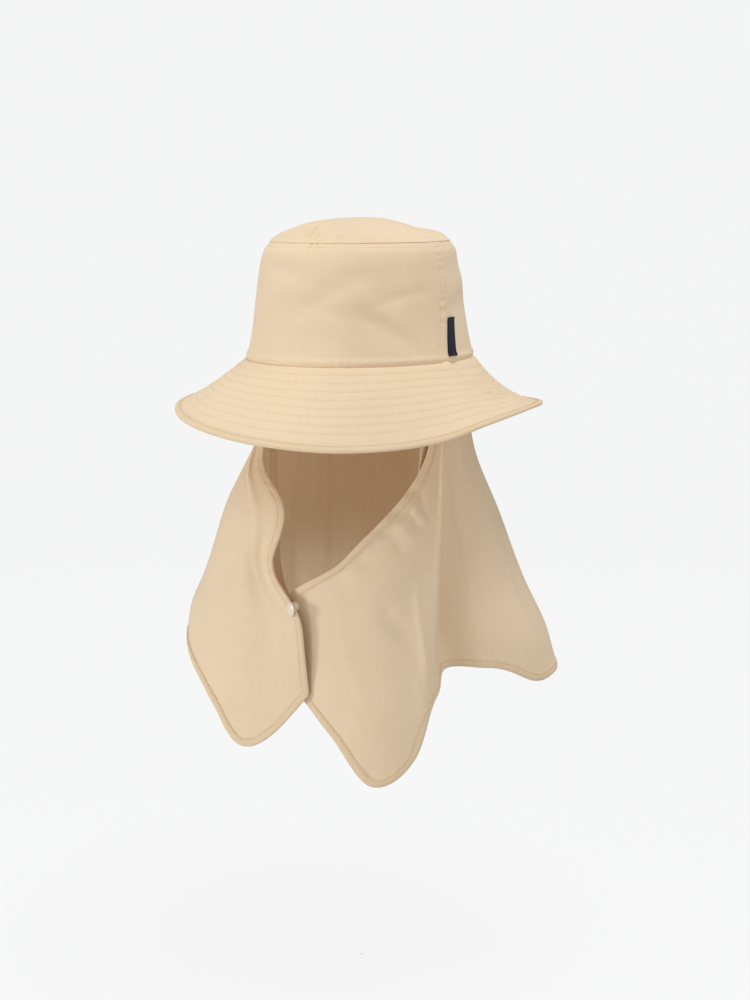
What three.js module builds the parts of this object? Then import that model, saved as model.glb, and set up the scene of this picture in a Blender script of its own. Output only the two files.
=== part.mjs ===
// A woven-cloth bucket sun hat with a neck cape that closes under the chin.
// Millimetres, +Z up, +X to the wearer's left, the face looks along -Y.
// The origin is the centre of the head opening, in the plane of the seam between crown and brim.
// Degrees run round the head: 0 front, 90 wearer's right, 180 back, 270 wearer's left.
import * as THREE from 'three';

// Driving dimensions
const HEAD_WIDTH = 174;          // crown across, at the brim seam
const HEAD_LENGTH = 204;         // crown front to back, at the brim seam
const CROWN_HEIGHT = 92;         // brim seam to tip seam
const DOME_HEIGHT = 17.5;        // tip seam to the top of the tip
const BRIM_REACH = 56;           // how far the brim stands out
const BRIM_DROP = 56;            // how far its front edge hangs down
const CAPE_DROP = 328;           // brim seam to the lowest point of the cape
const CAPE_REACH = 150;          // middle of the head to the cape's side
const CROWN_CLOTH = 1.5;         // crown wall, cloth and facing together
const BRIM_CLOTH = 1.5;          // brim wall, two plies quilted together
const CAPE_CLOTH = 1.2;          // cape wall
const TAPE = 1;                  // wall of the binding tape
const BINDING_WIDTH = 5;         // how far the binding laps over an edge
const SEW_GAP = 0.3;             // clearance between pieces that are sewn together
const CAPE_LAP = 3;              // how far the cape is sewn up inside the crown
const STRAP_WIDTH = 12;
const STRAP_THICKNESS = 1.2;
const STRAP_DROP = 236;          // brim seam to the bottom of the chin strap's loop
const LABEL_WIDTH = 12;
const LABEL_HEIGHT = 30;
const LABEL_THICKNESS = 1;
const LABEL_RISE = 3;            // brim seam to the label's lower edge
const LABEL_BACK = 9.5;          // foot of the side seam to the label's front edge
const LABEL_LEAN = 3.4;          // degrees that the label's top leans back
const SNAP_WIDTH = 10.5;
const SNAP_CAP_HEIGHT = 2;
const SOCKET_WIDTH = 8.4;
const SOCKET_BEVEL = 0.6;
const LEFT_SEAM = 279.5;         // degrees of the crown's side seams at their feet
const RIGHT_SEAM = 80.5;
const SEAM_LEAN = 8.5;           // degrees that each side seam leans back at its top

// Crown side: share of the height, share of the width at the brim seam
const CROWN_PROFILE = [
  { height: 0.00, width: 1.000 },
  { height: 0.10, width: 0.978 },
  { height: 0.22, width: 0.953 },
  { height: 0.38, width: 0.931 },
  { height: 0.56, width: 0.909 },
  { height: 0.75, width: 0.883 },
  { height: 0.87, width: 0.860 },
  { height: 0.94, width: 0.834 },
  { height: 1.00, width: 0.787 },
];

// Tip: share of the way from its middle to its seam, share of the dome's height
const TIP_PROFILE = [
  { out: 0.00, rise: 1.00 },
  { out: 0.25, rise: 0.95 },
  { out: 0.44, rise: 0.86 },
  { out: 0.60, rise: 0.75 },
  { out: 0.72, rise: 0.63 },
  { out: 0.88, rise: 0.35 },
  { out: 1.00, rise: 0.00 },
];

// Dents in the crown's side: place, half sizes, tilt of the crease, depth as a share of the crown's height
const CROWN_DENTS = [
  { deg: 352, height: 0.50, wide: 24, tall: 0.10, tilt: -0.006, depth: -0.022 },
  { deg: 318, height: 0.50, wide: 16, tall: 0.09, tilt: 0.010, depth: 0.014 },
  { deg: 12, height: 0.78, wide: 18, tall: 0.08, tilt: 0.004, depth: -0.014 },
  { deg: 250, height: 0.45, wide: 20, tall: 0.14, tilt: 0.000, depth: -0.016 },
  { deg: 120, height: 0.55, wide: 22, tall: 0.12, tilt: 0.005, depth: -0.016 },
  { deg: 185, height: 0.60, wide: 26, tall: 0.10, tilt: -0.004, depth: -0.014 },
  { deg: 244, height: 0.82, wide: 24, tall: 0.14, tilt: 0.000, depth: -0.018 },
];

// Dents and ridges in the tip, rise as a share of the dome's height
const TIP_DENTS = [
  { deg: 60, out: 0.78, wide: 22, long: 0.16, rise: -0.12 },
  { deg: 25, out: 0.62, wide: 16, long: 0.18, rise: 0.07 },
  { deg: 268, out: 0.80, wide: 20, long: 0.14, rise: -0.13 },
  { deg: 190, out: 0.66, wide: 40, long: 0.22, rise: -0.07 },
  { deg: 238, out: 0.74, wide: 52, long: 0.30, rise: -0.22 },
];

// Dents fade out over these shares next to the seams and the tip's middle
const CROWN_CALM = 0.17;
const TIP_CALM = 0.28;

// Brim: shares of its reach and drop, and how far it bows up (or sags, below 0) halfway out
const BRIM_PROFILE = [
  { deg: 0, reach: 1.00, drop: 0.97, bow: 0.00 },
  { deg: 30, reach: 1.02, drop: 0.83, bow: -0.02 },
  { deg: 58, reach: 1.04, drop: 0.71, bow: -0.05 },
  { deg: 90, reach: 1.03, drop: 0.68, bow: -0.04 },
  { deg: 122, reach: 1.02, drop: 0.73, bow: -0.04 },
  { deg: 150, reach: 1.00, drop: 0.82, bow: -0.02 },
  { deg: 180, reach: 1.00, drop: 0.88, bow: -0.02 },
  { deg: 212, reach: 1.00, drop: 0.80, bow: -0.08 },
  { deg: 238, reach: 1.03, drop: 0.71, bow: -0.20 },
  { deg: 262, reach: 1.02, drop: 0.67, bow: -0.15 },
  { deg: 283, reach: 0.99, drop: 0.78, bow: -0.05 },
  { deg: 300, reach: 1.00, drop: 0.94, bow: 0.00 },
  { deg: 330, reach: 1.00, drop: 1.04, bow: 0.00 },
  { deg: 360, reach: 1.00, drop: 0.97, bow: 0.00 },
];

// Cape: a row for each line of cloth that hangs from the seam, from the wearer's left front edge round
// the back to the right front edge. Degrees at the seam, cheek, jaw, throat, chest and hem (they pass 360
// under the other flap), each with its reach as a share of CAPE_REACH, and the hem's drop as a share of
// CAPE_DROP.
const CAPE_COLUMNS = [
  'at', 'seam', 'cheekDeg', 'cheek', 'jawDeg', 'jaw', 'throatDeg', 'throat', 'chestDeg', 'chest',
  'hemDeg', 'hem', 'drop',
];
const CAPE_LINES = [
  [0.000, 282, 290, 0.555, 320, 0.590, 368, 0.612, 373, 0.615, 374, 0.618, 0.765],
  [0.040, 280, 287, 0.565, 312, 0.602, 355, 0.620, 356, 0.635, 357, 0.645, 0.805],
  [0.085, 278, 286, 0.575, 307, 0.630, 339, 0.650, 339, 0.700, 340, 0.725, 0.885],
  [0.135, 276, 285, 0.585, 301, 0.655, 323, 0.700, 323, 0.755, 323, 0.785, 1.000],
  [0.180, 274, 284, 0.590, 295, 0.670, 308, 0.725, 308, 0.775, 307, 0.795, 0.935],
  [0.215, 271, 282, 0.590, 290, 0.675, 296, 0.735, 299, 0.765, 298, 0.775, 0.800],
  [0.240, 267, 277, 0.565, 283, 0.585, 287, 0.610, 288, 0.620, 285.5, 0.650, 0.750],
  [0.275, 262, 268, 0.575, 271, 0.640, 273, 0.740, 273, 0.800, 272, 0.820, 0.745],
  [0.340, 252, 255, 0.580, 257, 0.730, 259, 0.880, 259, 0.990, 259, 1.020, 0.790],
  [0.420, 238, 238, 0.600, 239, 0.755, 240, 0.910, 240, 1.020, 240, 1.085, 0.790],
  [0.540, 206, 206, 0.660, 205, 0.750, 205, 0.840, 205, 0.920, 205, 0.940, 0.790],
  [0.660, 172, 172, 0.690, 172, 0.770, 172, 0.840, 172, 0.920, 172, 0.940, 0.780],
  [0.770, 142, 140, 0.690, 138, 0.790, 134, 0.900, 132, 0.980, 132, 1.020, 0.760],
  [0.850, 116, 110, 0.660, 104, 0.800, 98, 0.940, 96, 1.010, 96, 1.040, 0.730],
  [0.905, 100, 88, 0.650, 78, 0.790, 70, 0.915, 68, 0.980, 68, 1.005, 0.735],
  [0.945, 89, 77, 0.635, 56, 0.740, 48, 0.800, 46, 0.855, 44, 0.885, 0.828],
  [0.970, 81, 70, 0.600, 32, 0.670, 26, 0.710, 26, 0.755, 26, 0.785, 0.950],
  [0.988, 78, 66, 0.570, 22, 0.620, 11, 0.645, 9, 0.675, 9, 0.705, 0.900],
  [1.000, 76, 61, 0.540, 15, 0.580, -4, 0.682, -6.5, 0.698, -8, 0.683, 0.795],
].map((row) => Object.fromEntries(CAPE_COLUMNS.map((name, k) => [name, row[k]])));
const CHEEK_DROP = 0.243;
const JAW_DROP = 0.392;
const THROAT_DROP = 0.578;
const LAP_SHARE = CAPE_LAP / CAPE_DROP;

// Local folds of the cape: place and half sizes as shares, outward share of CAPE_REACH, turn in degrees
const CAPE_FOLDS = [
  { name: 'left edge rounded', at: 0.000, drop: 0.490, wide: 0.040, tall: 0.05, out: 0.000, turn: -7 },
  { name: 'edge forward', at: 1.000, drop: 0.325, wide: 0.030, tall: 0.06, out: -0.012, turn: -12 },
  { name: 'edge tucked back', at: 1.000, drop: 0.492, wide: 0.035, tall: 0.075, out: -0.012, turn: 16 },
  { name: 'left side band', at: 0.305, drop: 0.330, wide: 0.018, tall: 0.16, out: 0.016, turn: 0 },
  { name: 'left side hollow', at: 0.375, drop: 0.620, wide: 0.022, tall: 0.20, out: -0.022, turn: 0 },
  { name: 'back flute', at: 0.480, drop: 0.800, wide: 0.026, tall: 0.30, out: -0.060, turn: 0 },
  { name: 'back flute', at: 0.600, drop: 0.800, wide: 0.030, tall: 0.32, out: -0.055, turn: 0 },
  { name: 'back flute', at: 0.720, drop: 0.800, wide: 0.026, tall: 0.30, out: -0.060, turn: 0 },
  { name: 'right side hollow', at: 0.835, drop: 0.700, wide: 0.022, tall: 0.24, out: -0.030, turn: 0 },
];

// Chin strap, wearer's left half: share of the strap's drop, and place as shares of half the head's width
// and length. The other half mirrors it. Twist turns the tape's width out of the fore-and-aft direction.
const STRAP_ROUTE = [
  { drop: 0.10, across: 0.905, along: 0.140, twist: 8 },
  { drop: 0.33, across: 0.860, along: 0.195, twist: 10 },
  { drop: 0.58, across: 0.780, along: 0.262, twist: 12 },
  { drop: 0.80, across: 0.690, along: 0.315, twist: 10 },
  { drop: 0.93, across: 0.460, along: 0.345, twist: 5 },
  { drop: 0.99, across: 0.200, along: 0.355, twist: 0 },
];
const STRAP_DEG = 277;           // where the strap is sewn in, beside the cape's front edge
const FLAP_SHARE = 0.17;         // how much of the cape each front flap takes
const SNAP_AT = 0.9974;          // the snap's place on the cape: share round it and share of its drop
const SNAP_DROP = 0.588;

// The snap's cap: how far in from its rim and up from its seat
const CAP_PROFILE = [
  { inwards: 0.4, up: 0 },
  { inwards: 0.0, up: 0.5 },
  { inwards: 0.0, up: 0.9 },
  { inwards: 1.2, up: SNAP_CAP_HEIGHT - 0.3 },
  { inwards: 3.0, up: SNAP_CAP_HEIGHT },
];

// Fineness of the faceted walls
const TIP_STEPS = 40;
const TIP_RINGS = [0.25, 0.5, 0.72, 0.88, 1];
const CROWN_TURN = 7.5;          // degrees between the crown's columns
const CROWN_ROWS = [0, 0.1, 0.25, 0.42, 0.6, 0.78, 0.92, 1];
const BRIM_STEPS = 60;
const BRIM_ROWS = [0.32, 0.64];
const CAPE_TURN = 5.5;           // degrees at the throat between the cape's columns
const CAPE_ROWS = [0, 0.07, 0.15, 0.24, 0.32, 0.39, 0.46, 0.53, 0.6, 0.67, 0.75, 0.83, 0.92, 1];
const EDGE_COLUMN = 0.001;       // where the grid's own count puts the lines under the binding
const STRAP_STEPS = 44;
const LABEL_STEPS = [3, 4];      // across it and up it
const SNAP_SIDES = 16;
const SHEET_SAMPLES = 6;         // each way over a face, where the snap's seats are measured

const TOGETHER = 0.001;          // points nearer than this count as one
const INSET_REACH = 0.12;        // how far from an edge the binding's inner line is looked for
const INSET_HALVINGS = 16;
const FRONT_NUDGE = 0.01;        // step along a front edge and along the hem that gives its direction
const HEM_NUDGE = 0.003;
const SNAP_NUDGE = 0.004;        // step over the cape that gives the snap's plane

// Colours
const CLOTH_COLOUR = 0xe2c9a6;
const BINDING_COLOUR = 0xdcc29f;
const LABEL_COLOUR = 0x262b3d;
const SNAP_COLOUR = 0xe9dcc3;

// Curves through a table

// The weight-averaged slope at row k, so that the curve bends evenly through rows at uneven places
function slopeAt(places, values, k) {
  const last = places.length - 1;
  if (k === 0) return (values[1] - values[0]) / (places[1] - places[0]);
  if (k === last) return (values[last] - values[last - 1]) / (places[last] - places[last - 1]);
  const before = places[k] - places[k - 1];
  const after = places[k + 1] - places[k];
  const slopeBefore = (values[k] - values[k - 1]) / before;
  const slopeAfter = (values[k + 1] - values[k]) / after;
  return (slopeBefore * after + slopeAfter * before) / (before + after);
}

// Smooth curve through values at places
function smooth(x, places, values) {
  const last = places.length - 1;
  let i = 0;
  while (i < last - 1 && x > places[i + 1]) i += 1;
  const span = places[i + 1] - places[i];
  const t = Math.min(Math.max((x - places[i]) / span, 0), 1);
  const startSlope = slopeAt(places, values, i) * span;
  const endSlope = slopeAt(places, values, i + 1) * span;
  const t2 = t * t;
  const t3 = t2 * t;
  return (2 * t3 - 3 * t2 + 1) * values[i] + (t3 - 2 * t2 + t) * startSlope
    + (3 * t2 - 2 * t3) * values[i + 1] + (t3 - t2) * endSlope;
}

// Smooth curve through one column of a table of rows
function column(rows, key, valueOf, x) {
  return smooth(x, rows.map((row) => row[key]), rows.map(valueOf));
}

const radians = THREE.MathUtils.degToRad;
const bump = (x, half) => Math.exp(-((x / half) ** 2));
const turnBetween = (deg, other) => ((deg - other + 540) % 360) - 180;

// Surfaces. Each returns the middle of the cloth.

// A point of the head's oval, scaled and then grown outwards
function ringPoint(deg, scale, grow, z) {
  const a = radians(deg);
  const halfWidth = (HEAD_WIDTH / 2) * scale + grow;
  const halfLength = (HEAD_LENGTH / 2) * scale + grow;
  return new THREE.Vector3(-halfWidth * Math.sin(a), -halfLength * Math.cos(a), z);
}

function crownPoint(deg, share) {
  const width = column(CROWN_PROFILE, 'height', (row) => row.width, share);
  const dent = CROWN_DENTS.reduce((sum, d) => {
    const turn = turnBetween(deg, d.deg);
    return sum + d.depth * bump(turn, d.wide) * bump(share - d.height - d.tilt * turn, d.tall);
  }, 0);
  const calm = Math.min(1, share / CROWN_CALM, (1 - share) / CROWN_CALM);
  return ringPoint(deg, width, dent * calm * CROWN_HEIGHT, CROWN_HEIGHT * share);
}

function tipPoint(deg, out) {
  const edge = CROWN_PROFILE[CROWN_PROFILE.length - 1].width;
  const rise = column(TIP_PROFILE, 'out', (row) => row.rise, out);
  const dent = TIP_DENTS.reduce((sum, d) => (
    sum + d.rise * bump(turnBetween(deg, d.deg), d.wide) * bump(out - d.out, d.long)), 0);
  const calm = Math.min(1, (1 - out) / TIP_CALM) * Math.min(1, out / TIP_CALM);
  const seat = CROWN_CLOTH / 2 + SEW_GAP;
  return ringPoint(deg, out * edge, 0, CROWN_HEIGHT + seat + DOME_HEIGHT * (rise + dent * calm));
}

function brimPoint(deg, out) {
  const turn = ((deg % 360) + 360) % 360;
  const reach = column(BRIM_PROFILE, 'deg', (row) => row.reach, turn) * BRIM_REACH;
  const drop = column(BRIM_PROFILE, 'deg', (row) => row.drop, turn) * BRIM_DROP;
  const bow = column(BRIM_PROFILE, 'deg', (row) => row.bow, turn) * BRIM_DROP;
  return ringPoint(turn, 1, reach * out, -drop * out + 4 * bow * out * (1 - out));
}

// A point against the crown's inside, at the height to which the cape and the strap are sewn up. The gap
// is doubled there, because the crown's flat facets cut inside its round.
function sewnInPoint(deg, depth) {
  const width = column(CROWN_PROFILE, 'height', (row) => row.width, CAPE_LAP / CROWN_HEIGHT);
  return ringPoint(deg, width, -(CROWN_CLOTH / 2 + 2 * SEW_GAP + depth), CAPE_LAP);
}

// Where the cape is sewn in, as degrees and reach about the middle of the head
function capeSeam(deg) {
  const p = sewnInPoint(deg, CAPE_CLOTH / 2);
  const turn = THREE.MathUtils.radToDeg(Math.atan2(-p.x, -p.y));
  return [turn < 0 ? turn + 360 : turn, Math.hypot(p.x, p.y) / CAPE_REACH];
}

// The cape's line of cloth at share at: drops, degrees and reaches from the seam to the hem
function capeLine(at) {
  const read = (valueOf) => column(CAPE_LINES, 'at', valueOf, at);
  const hemDrop = read((row) => row.drop);
  const [seamDeg, seamReach] = capeSeam(read((row) => row.seam));
  const chestDrop = (THROAT_DROP + hemDrop) / 2;
  const drops = [-LAP_SHARE, CHEEK_DROP, JAW_DROP, THROAT_DROP, chestDrop, hemDrop];
  const levels = ['cheek', 'jaw', 'throat', 'chest', 'hem'];
  const degs = [seamDeg, ...levels.map((level) => read((row) => row[`${level}Deg`]))];
  const reaches = [seamReach, ...levels.map((level) => read((row) => row[level]))];
  return { hemDrop, drops, degs, reaches };
}

function capePoint(at, down) {
  const { hemDrop, drops, degs, reaches } = capeLine(at);
  const drop = (hemDrop + LAP_SHARE) * down - LAP_SHARE;
  let reach = smooth(drop, drops, reaches);
  let deg = smooth(drop, drops, degs);
  CAPE_FOLDS.forEach((fold) => {
    const weight = bump(at - fold.at, fold.wide) * bump(drop - fold.drop, fold.tall);
    reach += fold.out * weight;
    deg += fold.turn * weight;
  });
  const a = radians(deg);
  const r = reach * CAPE_REACH;
  return new THREE.Vector3(-r * Math.sin(a), -r * Math.cos(a), -CAPE_DROP * drop);
}

// Closed meshes

// The two triangles of a four-cornered face, split along its shorter diagonal so that a face and the tape
// that lies on it bend alike. Corners that fall together leave one triangle or none.
function quadTriangles(points, [a, b, c, d]) {
  const apart = (i, j) => points[i].distanceTo(points[j]);
  const pair = apart(a, c) <= apart(b, d) ? [[a, b, c], [a, c, d]] : [[a, b, d], [b, c, d]];
  const wide = ([i, j, k]) => Math.min(apart(i, j), apart(j, k), apart(k, i)) > TOGETHER;
  return pair.filter(wide);
}

function meshGeometry(vertices, triangles) {
  const geometry = new THREE.BufferGeometry();
  const numbers = vertices.flatMap((p) => [p.x, p.y, p.z]);
  geometry.setAttribute('position', new THREE.Float32BufferAttribute(numbers, 3));
  geometry.setIndex(triangles.flat());
  geometry.computeVertexNormals();
  return geometry;
}

// Unit normals of a grid of points: across columns, then down rows. side turns them to the cloth's outside.
function gridNormals(grid, wraps, side) {
  const columns = grid.length;
  const rows = grid[0].length;
  return grid.map((line, i) => line.map((_, j) => {
    const before = wraps ? (i + columns - 1) % columns : Math.max(i - 1, 0);
    const after = wraps ? (i + 1) % columns : Math.min(i + 1, columns - 1);
    const across = grid[after][j].clone().sub(grid[before][j]);
    const down = grid[i][Math.min(j + 1, rows - 1)].clone().sub(grid[i][Math.max(j - 1, 0)]);
    return across.cross(down).multiplyScalar(side).normalize();
  }));
}

// A cloth wall about a grid of points. wraps joins the last column to the first.
function wallGeometry(grid, { wraps, side, thickness }) {
  const columns = grid.length;
  const rows = grid[0].length;
  const normals = gridNormals(grid, wraps, side);
  const face = (sign) => grid.flatMap((line, i) => line.map((p, j) => (
    p.clone().addScaledVector(normals[i][j], sign * thickness / 2))));
  const vertices = [...face(1), ...face(-1)];
  const inner = columns * rows;
  const index = (i, j) => (i % columns) * rows + j;
  const triangles = [];
  const quad = (...corners) => {
    if (side < 0) corners.reverse();
    triangles.push(...quadTriangles(vertices, corners));
  };
  const spans = wraps ? columns : columns - 1;
  for (let i = 0; i < spans; i += 1) {
    for (let j = 0; j < rows - 1; j += 1) {
      quad(index(i, j), index(i + 1, j), index(i + 1, j + 1), index(i, j + 1));
      const [a, b, c, d] = [index(i, j), index(i, j + 1), index(i + 1, j + 1), index(i + 1, j)];
      quad(inner + a, inner + b, inner + c, inner + d);
    }
    const end = rows - 1;
    quad(index(i, 0), inner + index(i, 0), inner + index(i + 1, 0), index(i + 1, 0));
    quad(index(i, end), index(i + 1, end), inner + index(i + 1, end), inner + index(i, end));
  }
  if (!wraps) {
    const last = columns - 1;
    for (let j = 0; j < rows - 1; j += 1) {
      quad(index(0, j), index(0, j + 1), inner + index(0, j + 1), inner + index(0, j));
      quad(index(last, j), inner + index(last, j), inner + index(last, j + 1), index(last, j + 1));
    }
  }
  return meshGeometry(vertices, triangles);
}

// A domed wall: rings of points round one middle point
function domeGeometry(middle, rings, thickness) {
  const sides = rings[0].length;
  const lift = new THREE.Vector3(0, 0, thickness / 2);
  const flat = [middle, ...rings.flat()];
  const vertices = [...flat.map((p) => p.clone().add(lift)), ...flat.map((p) => p.clone().sub(lift))];
  const under = flat.length;
  const index = (ring, i) => 1 + ring * sides + (i % sides);
  const triangles = [];
  for (let i = 0; i < sides; i += 1) {
    triangles.push([0, index(0, i + 1), index(0, i)]);
    triangles.push([under, under + index(0, i), under + index(0, i + 1)]);
    for (let ring = 0; ring < rings.length - 1; ring += 1) {
      const [a, b, c, d] = [index(ring, i), index(ring, i + 1), index(ring + 1, i + 1), index(ring + 1, i)];
      triangles.push([a, b, c], [a, c, d]);
      triangles.push([under + a, under + c, under + b], [under + a, under + d, under + c]);
    }
    const [a, b] = [index(rings.length - 1, i), index(rings.length - 1, i + 1)];
    triangles.push([a, b, under + b], [a, under + b, under + a]);
  }
  return meshGeometry(vertices, triangles);
}

// Rings of points joined one after another. Each ring runs the same way round.
function sweptGeometry(rings, wraps) {
  const count = rings[0].length;
  const middle = (ring) => ring.reduce((sum, p) => sum.add(p), new THREE.Vector3()).divideScalar(count);
  const facesOut = ringTurn(rings[0]).dot(middle(rings[1]).sub(middle(rings[0]))) > 0;
  const triangles = [];
  const vertices = rings.flat();
  const add = (a, b, c) => triangles.push(facesOut ? [a, b, c] : [a, c, b]);
  const spans = wraps ? rings.length : rings.length - 1;
  for (let i = 0; i < spans; i += 1) {
    const next = (i + 1) % rings.length;
    for (let k = 0; k < count; k += 1) {
      const l = (k + 1) % count;
      const corners = [i * count + k, i * count + l, next * count + l, next * count + k];
      quadTriangles(vertices, corners).forEach((triangle) => add(...triangle));
    }
  }
  if (!wraps) {
    const end = (rings.length - 1) * count;
    endTriangles(rings[0]).forEach(([a, b, c]) => add(a, c, b));
    endTriangles(rings[rings.length - 1]).forEach(([a, b, c]) => add(end + a, end + b, end + c));
  }
  return meshGeometry(vertices, triangles);
}

// The line that a ring of points runs anticlockwise about
function ringTurn(ring) {
  return ring.reduce((sum, p, k) => (
    sum.add(p.clone().cross(ring[(k + 1) % ring.length]))), new THREE.Vector3()).normalize();
}

// The triangles of a flat ring
function endTriangles(ring) {
  const across = ring[1].clone().sub(ring[0]).normalize();
  const up = ringTurn(ring).cross(across).normalize();
  const outline = ring.map((p) => new THREE.Vector2(p.dot(across), p.dot(up)));
  return THREE.ShapeUtils.triangulateShape(outline, []);
}

// The folded tape that wraps a raw edge: legs is how far in (0 at the edge, 1 at the tape's own edge), fold
// is how far beyond the edge, and face is the offset to the cloth's face side
function bindingSection(cloth) {
  const inside = cloth / 2 + SEW_GAP;
  const outside = inside + TAPE;
  const fold = SEW_GAP + TAPE;
  return [
    { leg: 1, face: outside }, { fold: SEW_GAP, face: outside }, { fold, face: 0 },
    { fold: SEW_GAP, face: -outside }, { leg: 1, face: -outside }, { leg: 1, face: -inside },
    { fold: SEW_GAP, face: -inside }, { fold: SEW_GAP, face: inside }, { leg: 1, face: inside },
  ];
}

// A binding along an edge. Each stop gives the edge's place and normal, and the place and normal where the
// tape ends on the cloth. Both are corners of the cloth's own mesh, so that the gap between them is even.
function bindingGeometry(stops, cloth, wraps) {
  const section = bindingSection(cloth);
  const rings = stops.map(({ edge, edgeNormal, inset, insetNormal }) => {
    const beyond = edge.clone().sub(inset).normalize();
    return section.map(({ leg, fold, face }) => (leg
      ? inset.clone().addScaledVector(insetNormal, face)
      : edge.clone().addScaledVector(beyond, fold).addScaledVector(edgeNormal, face)));
  });
  return sweptGeometry(rings, wraps);
}

const range = (count) => Array.from({ length: count }, (_, i) => i);

// Pieces

function crownTip() {
  const rings = TIP_RINGS.map((out) => (
    range(TIP_STEPS).map((i) => tipPoint((360 * i) / TIP_STEPS, out))));
  return domeGeometry(tipPoint(0, 0), rings, CROWN_CLOTH);
}

// A crown panel from one seam round to the other. lean is how far back its seams reach at the top, as
// degrees inwards on the back panel and outwards, below 0, on the front one.
function crownPanel(fromDeg, toDeg, lean) {
  const seamGap = THREE.MathUtils.radToDeg(SEW_GAP / HEAD_WIDTH);
  const steps = Math.round((toDeg - fromDeg) / CROWN_TURN);
  const place = (i, share) => {
    const leaning = lean * Math.sin((share * Math.PI) / 2);
    const from = fromDeg + seamGap + leaning;
    const to = toDeg - seamGap - leaning;
    return crownPoint(from + ((to - from) * i) / steps, share);
  };
  const grid = range(steps + 1).map((i) => CROWN_ROWS.map((share) => place(i, share)));
  return wallGeometry(grid, { wraps: false, side: -1, thickness: CROWN_CLOTH });
}

// The brim starts just outside the crown's wall. Its last row but one lies under the binding's inner edge.
function brimGrid() {
  const start = (CROWN_CLOTH / 2 + SEW_GAP) / BRIM_REACH;
  return range(BRIM_STEPS).map((i) => {
    const deg = (360 * i) / BRIM_STEPS;
    const slant = brimPoint(deg, 1).distanceTo(brimPoint(deg, 1 - INSET_REACH)) / INSET_REACH;
    const bound = 1 - BINDING_WIDTH / slant;
    return [start, ...BRIM_ROWS, bound, 1].map((share) => brimPoint(deg, share));
  });
}

function brim() {
  return wallGeometry(brimGrid(), { wraps: true, side: 1, thickness: BRIM_CLOTH });
}

function brimBinding() {
  const grid = brimGrid();
  const normals = gridNormals(grid, true, 1);
  const last = grid[0].length - 1;
  const stops = grid.map((line, i) => (
    bindingStop(line[last], normals[i][last], line[last - 1], normals[i][last - 1])));
  return bindingGeometry(stops, BRIM_CLOTH, true);
}

const bindingStop = (edge, edgeNormal, inset, insetNormal) => ({ edge, edgeNormal, inset, insetNormal });

// How far from an edge a line over the cloth is the binding's width from it
function bindingInset(edge, along, pointAt) {
  let [low, high] = [0, INSET_REACH];
  range(INSET_HALVINGS).forEach(() => {
    const middle = (low + high) / 2;
    const square = pointAt(middle).sub(edge).cross(along).length();
    if (square < BINDING_WIDTH) low = middle;
    else high = middle;
  });
  return (low + high) / 2;
}

// The share at which the binding of a front edge ends: side is 0 for the first line and 1 for the last
function frontInset(side, down) {
  const above = capePoint(side, Math.max(down - FRONT_NUDGE, 0));
  const along = capePoint(side, Math.min(down + FRONT_NUDGE, 1)).sub(above).normalize();
  const inwards = side === 0 ? 1 : -1;
  return bindingInset(capePoint(side, down), along, (t) => capePoint(side + inwards * t, down));
}

function hemInset(at) {
  const before = capePoint(Math.max(at - HEM_NUDGE, 0), 1);
  const along = capePoint(Math.min(at + HEM_NUDGE, 1), 1).sub(before).normalize();
  return bindingInset(capePoint(at, 1), along, (t) => capePoint(at, 1 - t));
}

// Columns at every line of the cape's table and evenly between them
function capeColumns() {
  const places = CAPE_LINES.slice(1).flatMap((line, k) => {
    const start = CAPE_LINES[k].at;
    const turn = Math.abs(line.throatDeg - CAPE_LINES[k].throatDeg);
    const steps = Math.max(2, Math.round(turn / CAPE_TURN));
    return range(steps).map((i) => start + ((line.at - start) * i) / steps);
  });
  return [...places, 1];
}

// The cape's grid. Its outermost lines but one lie under the binding's inner edge.
function capeGrid() {
  const insets = new Map();
  const frontInsets = (down) => {
    const key = down.toFixed(4);
    if (!insets.has(key)) insets.set(key, [frontInset(0, down), frontInset(1, down)]);
    return insets.get(key);
  };
  const place = (column, down) => {
    if (column <= 0 || column >= 1) return Math.min(Math.max(column, 0), 1);
    const [first, last] = frontInsets(down);
    return first + ((column - EDGE_COLUMN) / (1 - 2 * EDGE_COLUMN)) * (1 - first - last);
  };
  const inner = capeColumns().map((at) => EDGE_COLUMN + at * (1 - 2 * EDGE_COLUMN));
  return [0, ...inner, 1].map((column) => {
    const bound = 1 - hemInset(place(column, 1));
    const downs = [...CAPE_ROWS.map((row) => row * bound), 1];
    return downs.map((down) => capePoint(place(column, down), down));
  });
}

function neckCape() {
  return wallGeometry(capeGrid(), { wraps: false, side: -1, thickness: CAPE_CLOTH });
}

// One tape runs down the left front edge, along the hem and up the right front edge
function capeBinding() {
  const grid = capeGrid();
  const normals = gridNormals(grid, false, -1);
  const right = grid.length - 1;
  const hem = CAPE_ROWS.length;
  const stop = (i, j, insetI, insetJ) => (
    bindingStop(grid[i][j], normals[i][j], grid[insetI][insetJ], normals[insetI][insetJ]));
  const rows = range(hem - 1).map((j) => j + 1);
  const stops = [
    ...rows.map((j) => stop(0, j, 1, j)),
    stop(0, hem, 1, hem - 1),
    ...range(right - 1).map((i) => stop(i + 1, hem, i + 1, hem - 1)),
    stop(right, hem, right - 1, hem - 1),
    ...[...rows].reverse().map((j) => stop(right, j, right - 1, j)),
  ];
  return bindingGeometry(stops, CAPE_CLOTH, false);
}

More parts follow.
